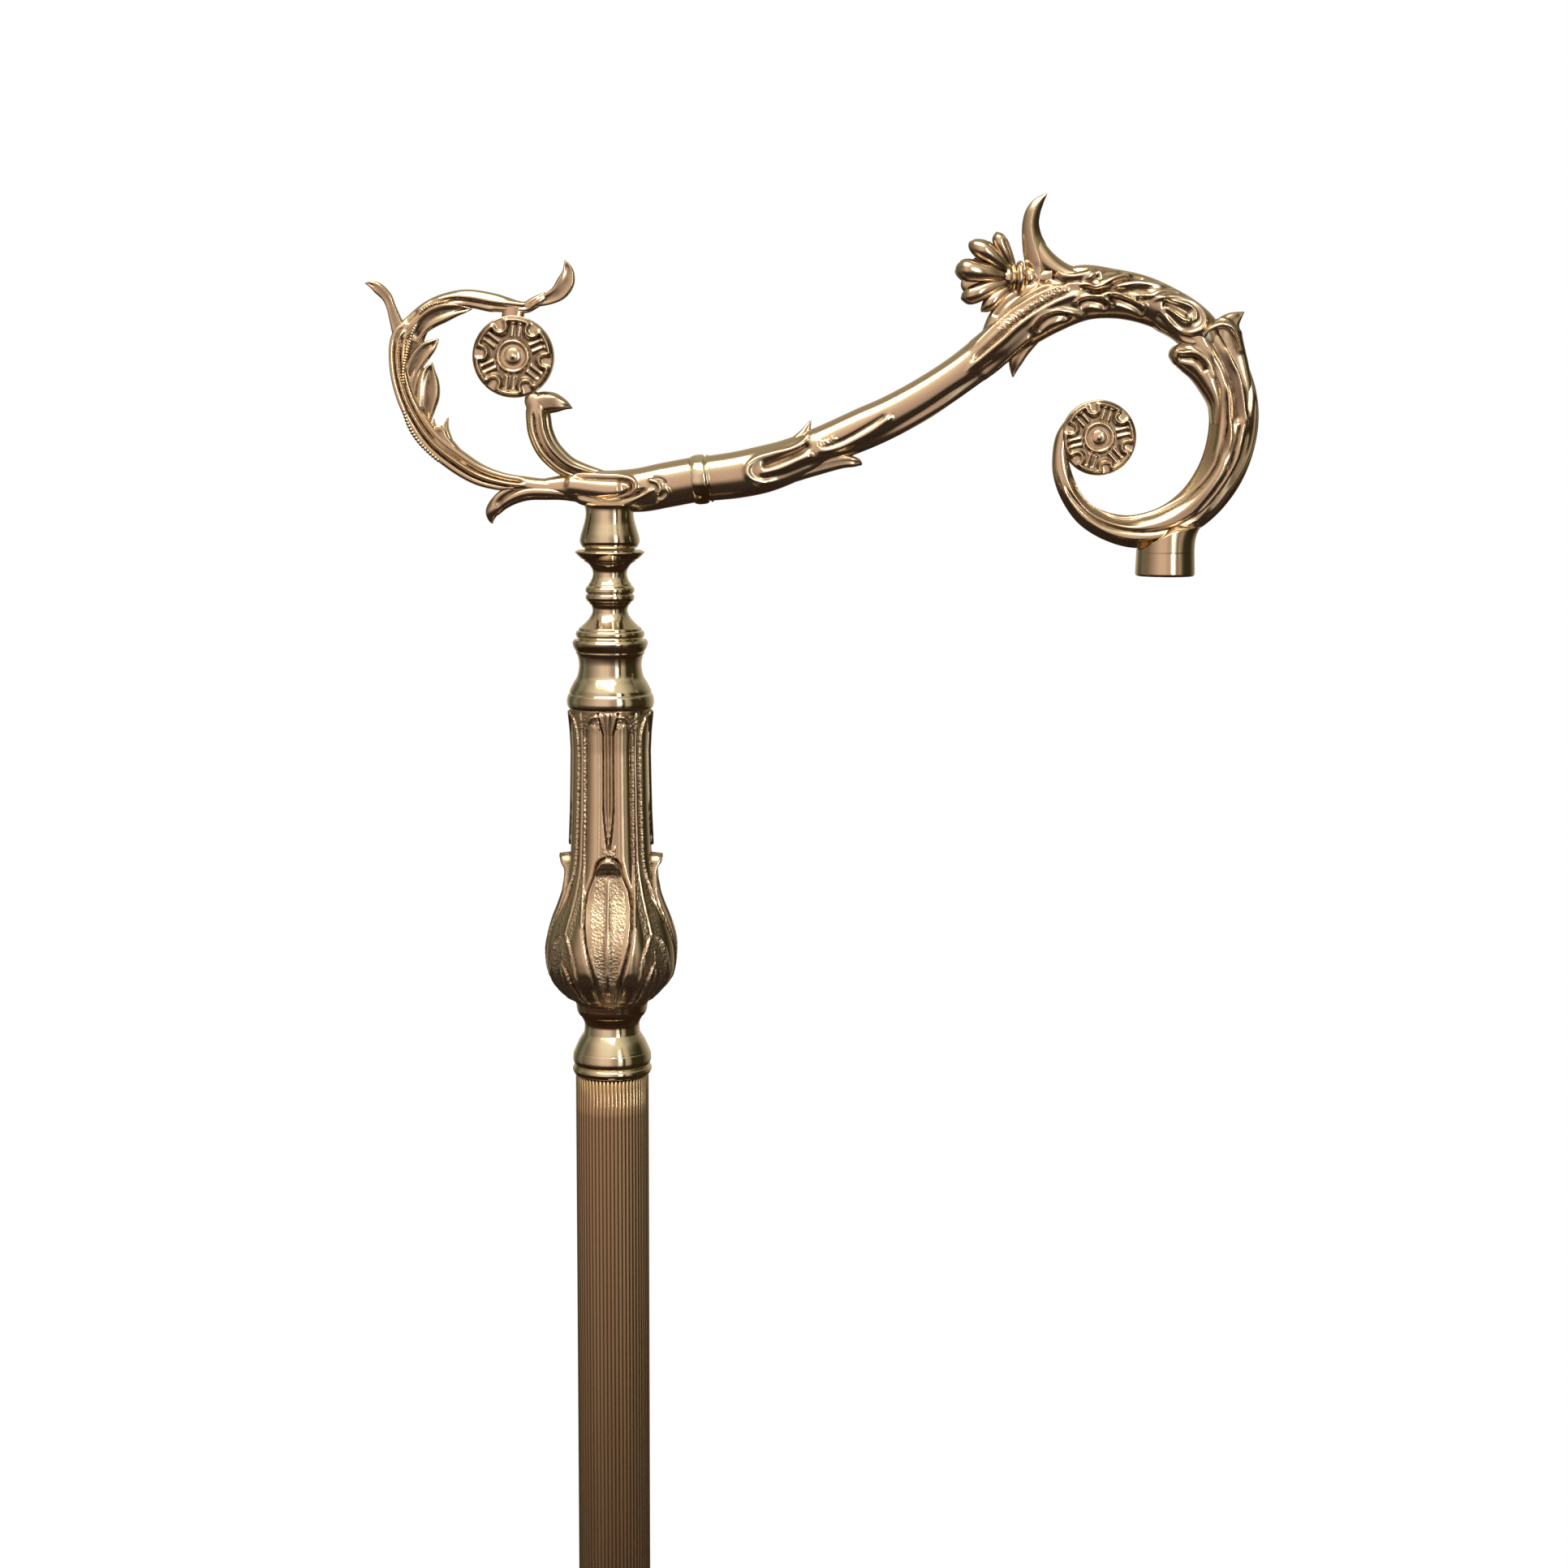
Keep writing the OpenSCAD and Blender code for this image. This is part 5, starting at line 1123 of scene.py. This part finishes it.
# ---- Arm ----
# One brass casting from the ring to the front rosette. A sleeve of two pointed leaves opens
# round its root; it rises in an S, throws off spurs and a horn, and is covered with acanthus
# where it curls over into the crook.
arm_bar = bar([[39.9, 27.9, 9, 9.1], [43.5, 28.3, 9.1, 9.1], [51.6, 29.4, 9.3, 9.2],
    [61.4, 31.5, 9.4, 9.2], [71.1, 34.6, 8.8, 8.9], [80.8, 38.8, 8.1, 8.6], [90.5, 43, 8.1, 8.4],
    [101.8, 48, 8.3, 8.3], [113.1, 53.1, 8.2, 8.2], [126, 60.3, 8, 8.1], [138.8, 69, 7.6, 8],
    [150, 77.5, 7.9, 8], [161.1, 86.4, 8.9, 8.2], [173.9, 95.6, 10.6, 8.6],
    [186.6, 101.2, 11, 8.8], [199.5, 101.2, 9.7, 8.8], [210.8, 99.2, 9.2, 8.6],
    [221.2, 95.2, 8.7, 8.4], [229.4, 90.4, 8.6, 8], [235.6, 85.4, 7.8, 6.8],
    [239.4, 80.6, 5.6, 5], [240.8, 78.4, 2.4, 2.4]], lines=[
    (1, 1.1, 80.8, 50.4, 78.5, 43.4, 73.7, 39.8, 65.3, 37.7, 58.8, 35.6, 55.2, 32.2, 56.4, 28.4,
     61.2, 26.6, 68, 27.6),
    (1.3, -1.7, 60.4, 32.6, 66.2, 34.6, 76, 38.8, 80.5, 42.6),
    (1.2, 1.2, 59.4, 30, 67.9, 32, 76, 35.6, 81.8, 37.8),
    (1.2, -1.1, 60, 27.6, 70.1, 29.6, 80.8, 33.6, 90.6, 34.8, 97.1, 34.6),
    (1, 1, 82.1, 38.8, 90.5, 39.8, 97.6, 43.1, 105.1, 47.3, 113.4, 53.7),
    (0.8, -0.8, 84, 40, 92.1, 42.6, 100.2, 47, 111.5, 54.2),
    (1.4, -1.3, 84, 37, 95.4, 38.6, 105.1, 43.1, 113.2, 47.6, 126, 55.3, 135.6, 61.8, 145.3,
     67.9, 150.1, 71.4, 158, 78.4),
    (0.9, 0.8, 94, 36, 100.3, 38.3, 113.2, 45.2, 126, 52.8, 138.9, 60.8, 151.7, 69.4, 160, 75.6),
    (1.1, 1.3, 140.7, 69.9, 147.2, 75.4, 151.5, 79, 155.8, 82.6, 161, 87.4, 167.4, 92.2, 173.7,
     95.9, 179, 98.5, 184.3, 100.1, 189.6, 100.8),
    (0.8, -1.3, 142.6, 73.6, 148, 78.6, 153.5, 83.6, 159.2, 88.7, 165.3, 93.1, 171.6, 96.9,
     177.5, 99.8, 183.5, 101.5),
    (1, 0.8, 146.9, 67.3, 152.3, 71.4, 157.4, 75.3, 161.9, 79.4, 168, 85),
    (0.8, 0.9, 141, 78.4, 144.6, 82.3, 150.9, 89.1, 157.2, 94.9, 165.1, 99.7, 172.5, 103.4,
     178.9, 104.5),
    (0.6, -0.9, 143, 79.6, 148.8, 86.2, 155.8, 92.7, 163.1, 97.9, 171, 102.1, 178.6, 104.3),
    (0.8, 0.9, 142.5, 77.6, 146.7, 82.3, 154.6, 90.1, 160.9, 95.1, 168.3, 99.5, 175.7, 102.9,
     182.6, 104.4),
    (0.9, -0.9, 148.8, 90.2, 155.2, 96.4, 162.8, 101.6, 170.6, 105.6),
    (0.8, 1.3, 166.4, 85.5, 167.9, 89.2, 171.6, 92.4, 176.9, 94, 181.2, 93.7, 185.5, 93, 190,
     91.6),
    (1.2, -1.5, 169, 85.6, 172.7, 89.9, 177.5, 91.9, 182.8, 91.7),
    (0.8, 1.3, 169.6, 115.2, 174.1, 111.3, 178.4, 108.2, 183.2, 107.3, 188, 108.2, 192.4, 110),
    (0.8, -1.1, 169, 113, 173.4, 109.2, 177.8, 106.2, 183, 105.3, 187.4, 106.2),
    (0.8, -1, 178, 111.2, 182, 109.9, 186.5, 110.1, 190, 110.8),
    (0.8, -0.9, 165.1, 108.7, 168.3, 107.6, 172.6, 105.4, 177.4, 104.5, 181.1, 104.8),
    (0.8, 1.3, 184.2, 103.9, 188.4, 104.4, 192.2, 103.2, 196.4, 105.4, 201.7, 107.5, 207.5,
     108.2),
    (0.7, 1, 179.9, 104.7, 184.2, 104.9, 188.9, 106.6, 192.6, 108.5, 195.8, 109.1),
    (0.8, -1.2, 185.2, 105.4, 189.5, 106.1, 193.7, 108),
    (0.6, -0.8, 193, 105.4, 197.4, 107.8, 203, 109.2),
    (0.7, -1.3, 185.8, 102.4, 189.5, 102.2, 193.3, 101.4, 197.5, 103.2, 202.3, 105.8, 208.1,
     106.9, 213, 106.4),
    (0.8, -1.2, 189, 100.9, 196, 102, 203.8, 101.9, 210.5, 102.7, 215, 102.6),
    (0.8, 1.1, 198.6, 102.9, 203.2, 104.2, 208.1, 105.1, 213.5, 104.6, 219.9, 103.6),
    (0.8, 1.4, 182.7, 96.1, 185.9, 98.7, 190.1, 99.8, 194.4, 99.5, 197.6, 97.7, 200.4, 95.6),
    (1.2, -1.6, 184.9, 96, 188.6, 97.6, 193.4, 97, 197.4, 95),
    (0.8, 1.4, 192.8, 99.8, 196, 100.9, 200.2, 100.9, 204, 99.3, 209.3, 97.1, 213, 94.6),
    (1.2, -1.6, 197, 98.8, 202.4, 97.9, 207.4, 95.7, 211.6, 92.4),
    (0.7, 1.1, 206, 99.9, 213.6, 100, 217.8, 101.6, 223.1, 101.8, 227.4, 99.9),
    (0.8, -0.9, 208, 98.6, 212.6, 98.8),
    (0.7, 1.2, 213.1, 97.8, 217.9, 99.2, 223.6, 99.6, 229.6, 98.1, 233.4, 95.2, 235.6, 91, 234.1,
     87.4, 229.9, 85.8, 225.6, 86.8, 221.8, 89.9, 217.5, 94.6),
    (1.5, -1.6, 218.4, 97.7, 222.8, 96.4, 226.8, 94.6, 230.2, 92.6),
    (0.9, 1.5, 219.4, 96.2, 223.3, 93.3, 227.1, 90.8, 230.6, 90.2),
    (0.5, 0.9, 218, 99.2, 223.2, 98, 228, 96.8, 231.3, 94.7, 231.9, 91.6, 229.8, 89.8),
    (0.7, -1.1, 216, 93.6, 220.3, 88.6, 225.4, 85, 231, 83.4, 235.2, 84.5),
    (0.8, 0.8, 214.4, 91.8, 219.4, 86.6, 224.6, 83, 230, 82, 234.3, 81.6)], dots=[
    (1.9, 153.6, 85.6, 157.3, 88.6, 163.1, 92.7, 169.4, 96.9, 175.8, 100.4, 183, 102.8),
    (1.5, 82.1, 40.6, 85.7, 41.7, 91.2, 43.6),
    (0.7, 147.2, 87.4, 153.8, 94.2, 161.4, 99.6)], sides=168, step=0.48)
sleeve_leaves = [
    leaf([[60, 35, 2.4], [66.6, 37.3, 3.1], [72.7, 40.2, 3.2], [77.2, 44.4, 2.7], [80.4, 51, 0.3]],
         4.9, 0.6),
    leaf([[60, 27.2, 2.6], [67.9, 28.2, 3.3], [80.8, 31.9, 3.3], [92.2, 34.6, 2.8],
        [98.4, 34.6, 2], [100.9, 33.6, 0.5]], 6, 0.9),
]
horn = bar([[168.2, 97, 4.6, 3], [170, 105, 5, 3], [170.6, 110.4, 5.4, 3.4],
    [169.9, 114.6, 5.4, 3.8], [168.5, 119, 4.8, 3.4], [167.3, 123.6, 3.9, 2.8],
    [166.9, 128.6, 3.3, 2.3], [167.9, 133.2, 2.9, 2], [170.2, 137, 1.9, 1.3],
    [173.1, 139.9, 0.2, 0.2]], sides=96, square=1.6)
horn_sweep = bar([[167.6, 127, 0.8, 0.8], [168.9, 121.8, 2.5, 2], [170.6, 117.6, 3.6, 3.2],
    [173.5, 113.4, 4.3, 4.4], [177.4, 110.1, 4.5, 5.2], [182, 108.1, 4.2, 5.8],
    [187.6, 107, 4.2, 6.2], [193, 105.6, 3.6, 6]], sides=80, square=1.2)
lower_spur = leaf([[170.6, 86.6, 3.2], [164.4, 79.6, 3.3], [161.6, 74, 2.6], [160.7, 68.4, 0.3]],
                  3.8, 0.6, 0.4)
put_casting("arm_chased", "arm_casting", [arm_bar])
shoulder = bar([[148.6, 84.2, 1, 2], [153, 89.4, 3.6, 3], [157.6, 94.4, 4.8, 3.4],
    [162.8, 98.4, 5, 3.6], [168, 101.8, 4.6, 3.8], [172, 104.4, 3, 2.8]], lines=[
    (1, -0.9, 152.4, 91.6, 157.4, 97.2, 163.4, 101.6)], sides=72)
put_casting("arm_leaves_chased", "arm_casting",
            [*sleeve_leaves, horn, horn_sweep, shoulder, lower_spur])

# A leaf, a curled leaf and a lip cover the place where the crook leaves the arm
spurs = [
    leaf([[253.2, 58, 2.4], [251.6, 64, 4.4], [249, 71, 5.8], [246.6, 78, 6.4], [245.4, 83, 6.4],
        [245.5, 86.4, 6], [246.2, 89, 5.2], [247.6, 91, 3.6], [249.6, 92.6, 2],
        [251.9, 94.2, 0.3]], 5.6, 0.8, 0.12, lines=[
    (0.7, 0.9, 236.7, 88.9, 240.4, 90.6, 244.7, 90.6, 247.9, 87.4, 249, 82.7, 251.2, 76.9)]),
    bar([[241.2, 50, 1.6, 5], [241.4, 58, 3, 6.4], [239, 65.4, 4.6, 7.2],
        [235.2, 72.2, 5.8, 7.2], [230.6, 75.8, 5.7, 6.6], [226.6, 77, 4.6, 5.6],
        [223.8, 76.9, 3, 4], [222.6, 76.6, 0.6, 0.9]], lines=[
    (0.7, 0.9, 224.2, 80.3, 228.4, 81.3, 232.7, 79.3, 236.5, 76.1, 240.4, 70.8, 243, 64.5),
    (0.6, 0.8, 224.3, 78.3, 227.4, 77.9, 231.1, 78.2, 234.4, 76.8, 237.7, 73.1, 240.4, 67),
    (1.1, -1.7, 224.8, 75.6, 228.1, 75.9, 231.9, 75.9, 234.8, 73.8, 237, 70.4)], sides=96),
    bar([[235, 83.2, 1.4, 6.4], [237, 86.6, 2, 7.8], [241.4, 88.8, 2.2, 8.6],
        [245.4, 88.4, 2, 8.3], [248.2, 84.8, 1.4, 7.6], [250.2, 79, 0.7, 6.8]],
        lines=[
    (0.6, -0.8, 236.6, 84.9, 241.2, 86.9, 245.2, 86.5)], sides=80),
]
crook = bar([[231.6, 88, 6, 6], [238, 80.6, 8, 7.2], [244, 72.7, 9.2, 7.7],
    [247.8, 62.2, 9.9, 7.7], [249.1, 51, 9.9, 7.6], [247.2, 38.8, 9.6, 7.5],
    [242.6, 27.8, 9.1, 7.3], [234.8, 17.8, 8.4, 7.1], [224.1, 10.6, 7.6, 6.8],
    [212.1, 7.5, 6.8, 6.2], [201.4, 8.8, 5.7, 5.4], [191.5, 13.5, 4.7, 4.6],
    [184.9, 21.2, 4.1, 4], [181.2, 29.9, 3.8, 3.5], [180.1, 37.9, 3.1, 3.1],
    [180.9, 45.3, 2.5, 2.8], [183.2, 51.6, 1, 1.8]], flank=(-0.28, 0.42, 6, 150), lines=[
    (0.7, 0.8, 224.6, 81.5, 232.7, 79.5, 236.5, 76.3, 240, 71, 242.7, 64.7, 243.5, 58.4, 243.3,
     50.4, 242.4, 42.4, 240.4, 35.2),
    (0.6, 0.9, 236.8, 81.5, 240.1, 75.2, 243.5, 67.3, 245.4, 61, 246.3, 53.1, 246.9, 45.1, 245.6,
     37),
    (0.5, -1, 238.4, 78.4, 241.6, 72, 244.4, 64.6, 245, 57, 245.1, 49.6, 244, 42.6),
    (1.7, -1.9, 236.4, 87.6, 239.4, 81.6, 242.8, 75.2, 246, 67.9, 248, 61, 248.9, 55.1, 249.2,
     49.3),
    (0.6, 1, 243.4, 82, 246.4, 74.7, 249.4, 68.9, 251.2, 61, 252.4, 54.1, 253.4, 48.9),
    (1.2, -1.8, 243.4, 88.6, 247.8, 79.6, 251.4, 72.1, 253.4, 63.7, 254.1, 56.8, 254.2, 51.5),
    (0.5, 0.7, 248.3, 86.4, 250.9, 79.5, 253.9, 72.2, 255.6, 63.7, 255.6, 56.8, 254.8, 50.5),
    (0.6, -0.8, 250.5, 51, 250, 46, 248.2, 38, 245.6, 31),
    (0.9, -1.5, 254, 50.5, 253.2, 43.5, 251.4, 36.3, 248.4, 30.5, 244.7, 24.7, 241, 19.6, 235.9,
     14.4, 229, 10.4),
    (0.6, 0.9, 256.4, 66, 257.2, 58, 257, 50, 256.1, 42.7, 254.1, 36.3, 250.4, 29.2, 246, 22.8,
     241, 16.4, 236, 11.9),
    (0.5, -0.8, 243.5, 42.6, 241.8, 35.6, 238.7, 29.9, 234.3, 24.7, 228, 19.6, 219, 15, 210.1,
     12.6, 203.6, 12.6, 199, 14.2, 193.8, 17.3, 189.2, 22, 185.4, 27.7, 183.6, 32.8),
    (1.9, 0.6, 245.4, 40, 243.4, 33.4, 239.6, 26.8, 233.4, 20.8, 226, 16.2, 217.6, 12.6, 208,
     10.8),
    (0.7, -1.1, 250.6, 42.7, 248.2, 35.6, 245.8, 30.5, 242, 24.7, 237.7, 19, 232.6, 13.6, 226.9,
     10, 221.8, 8.2, 214.1, 7.3, 205.6, 8, 199.1, 9.8, 192.6, 13.2, 187, 18.4, 183, 23.6, 180.6,
     29.7),
    (0.9, 0.7, 240.4, 19.4, 235, 12.2, 228.4, 7.8, 221, 5.6, 213, 4.6, 205, 5.4, 197.6, 8, 190.4,
     12.6)], sides=144, step=0.48)
neck_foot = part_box("arm_casting")[0].z * 1000 - seam
nozzle_x = middle("nozzle")[0]
NECK_R = 11.6


def neck_grid():
    """Cylinder cast under the crook. Its top edge is an arch that is low on the left and high
    on the right, where the cylinder flares into the crook; above it the form closes inside
    the crook."""
    angle = np.arange(160) * 2 * np.pi / 160
    x, y = NECK_R * np.cos(angle), NECK_R * np.sin(angle)
    arch = np.interp(x, [-12, -10, -8, -4, 0, 3, 6.5, 12],
                     [0.1, 0.4, 1.7, 4.3, 6.5, 7.7, 8.6, 9.6])
    share = np.linspace(0, 1, 24)[:, None]
    flare = 2.4 * share**3 * soft_step((x / NECK_R - 0.1) / 0.9)
    side = np.stack([x + flare, y + 0 * flare, neck_foot + (arch - neck_foot) * share], -1)
    shoulder = [np.stack([(x + flare[-1]) * k, y * k, arch + up], -1)
                for k, up in ((0.985, 0.3), (0.95, 0.6), (0.87, 0.9), (0.7, 1.4), (0.4, 1.8))]
    return np.concatenate([side, shoulder]) + np.array([nozzle_x, 0, seam])


stub_at = middle("shell_stud")
stub = laid_over(turned_grid([
    [[1.8, -2.4], [3.2, -2], [4.1, -0.9], [4.3, 0.2], [3.9, 1.6], [3.1, 2.4]],
    [[3, 2.5], [3.2, 4], [4.2, 6.4], [5.2, 8.4]],
], 1.6, sides=64), 0, stub_at)
put_casting("crook_chased", "arm_casting", [
    crook, *spurs, (neck_grid(), True, ()), (stub, False, ())])


# ---- Front rosette ----
# As the rear one, a little smaller, held by the thin end of the crook.
put_rosette("front_rosette_chased", "front_rosette", -17)


# ---- Shell ornament ----
# A cast brass fan of full, round-ended drops, screwed to the shoulder of the arm, with its stem
# in two turned rings.
def fan_drop(spine, in_front=0, deep=1.1):
    """Round drop of the fan. spine rows are [x, z, half width] from the rings outwards, and
    deep its depth as a share of its width; in_front is how far its end stands before the
    fan's middle."""
    spine = np.array(spine)
    grid, across, along = bar_grid(np.column_stack([spine, deep * spine[:, 2]]), 0.4, 48, 1)
    share = along / along[-1, 0]
    grid[..., 1] -= in_front * soft_step(share / 0.7)
    # Painted shade: each drop is coloured toned brown near the rings and along its sides, where
    # the drops crowd together and the valleys between them lie in shadow
    dark = np.maximum(soft_step((0.5 - share) / 0.35), soft_step((np.abs(across) - 0.75) / 0.25))
    return grid, True, (dark * 0.8, 0 * share)


big_drop = [[160, 107.4, 1.2], [154.6, 108.1, 2.7], [150.3, 108.9, 3.6], [145.5, 109.5, 4.2],
            [141.6, 110, 4.5], [139.3, 109.8, 3.4], [138, 109.6, 1.9], [137.3, 109.5, 0.3]]
low_drop = [[160, 105.6, 1.2], [154.6, 104.4, 2.4], [150, 102.8, 3.2], [146, 101.2, 3.7],
            [143, 100, 3.4], [141, 99.4, 2.2], [139.8, 99, 0.3]]
fan = [
    fan_drop(big_drop, 2.6), fan_drop(big_drop, -2.6),
    fan_drop(low_drop, 1.8), fan_drop(low_drop, -1.8),
    fan_drop([[160, 110.2, 1.2], [155.4, 113, 2.8], [151.4, 115.8, 3.7], [147.8, 118, 4],
        [145, 119.5, 3.1], [143.4, 120.4, 1.9], [142.6, 121, 0.3]], 1.2, 1.2),
    fan_drop([[160.2, 111.2, 1.2], [157.6, 115.4, 2.3], [155.6, 119.2, 2.7], [154.5, 121.7, 2.8],
        [153.9, 123.3, 2.3], [153.5, 124.4, 1.2], [153.3, 125, 0.2]], 1),
    fan_drop([[160.6, 111.6, 0.9], [158.8, 116.3, 1.4], [157.6, 119.7, 1.4], [157, 122, 1],
        [156.7, 123.1, 0.2]], -1.2),
    fan_drop([[156.8, 112.4, 1], [153.4, 116.6, 1.6], [150.6, 120.2, 1.2], [149.6, 121.6, 0.2]],
             -0.8),
    fan_drop([[160, 104, 1.2], [156, 101.2, 2.4], [152.8, 98.6, 3], [150.6, 96.6, 2.8],
        [149.2, 95.3, 2], [148.2, 94.4, 1], [147.8, 93.8, 0.2]], 1.2),
    fan_drop([[162, 107.5, 2], [157, 107.2, 4], [152, 106.8, 6.4], [147, 107.2, 8],
        [143, 108.4, 7], [140.8, 109.2, 4], [139.8, 109.4, 0.5]], 0, 0.26),
]
shell_collar = laid_over(turned_grid([
    [[3, -9.6], [3.9, -7]],
    [[4.6, -5.3], [6.1, -5], [6.9, -3.8], [6.2, -2.6], [4.6, -2.4]],
], 1.6, sides=96, step=0.15), 0, stub_at)
put_casting("shell_chased", "shell_ornament", [*fan, (shell_collar, False, ())])

tie_low, tie_high = box_mm("shell_tie")
tie_half = (tie_high.x - tie_low.x) / 2
tie_r = tie_high.y
put_turned("shell_tie", laid_over(turned_grid([
    [[4.2, -tie_half], [4.4, -0.8]],
    [[4.6, -0.7], [tie_r - 0.7, -0.4], [tie_r, 0.5], [tie_r - 0.6, 1.4], [4.8, tie_half]],
], 3.95, step=0.15), 0, (middle("shell_tie")[0], stub_at[1])), "arm")


# ---- Nozzle ----
# A turned brass nozzle pressed into the underside of the crook, flush with the neck above it;
# the lampholder screws into it.
nozzle_low, nozzle_high = box_mm("nozzle")
nozzle_r = nozzle_high.x - nozzle_x
nozzle_h = nozzle_high.z - nozzle_low.z
shown_h = seam + neck_foot - nozzle_low.z
SPIGOT_R = 7.6
NOZZLE_BORE = 4.5
nozzle = turned_grid([
    [[nozzle_r - 1, 0], [nozzle_r - 0.4, 0.2], [nozzle_r, 0.9]],
    [[nozzle_r, 1.2], [NECK_R, shown_h]],
    [[SPIGOT_R, shown_h], [SPIGOT_R, nozzle_h]],
], NOZZLE_BORE) + np.array([nozzle_x, 0, nozzle_low.z])
stands_for(put_skins("nozzle_turned", [(nozzle, False, ())], MARKS, TURNED_CREASE),
           "nozzle", "arm", cast_brass)
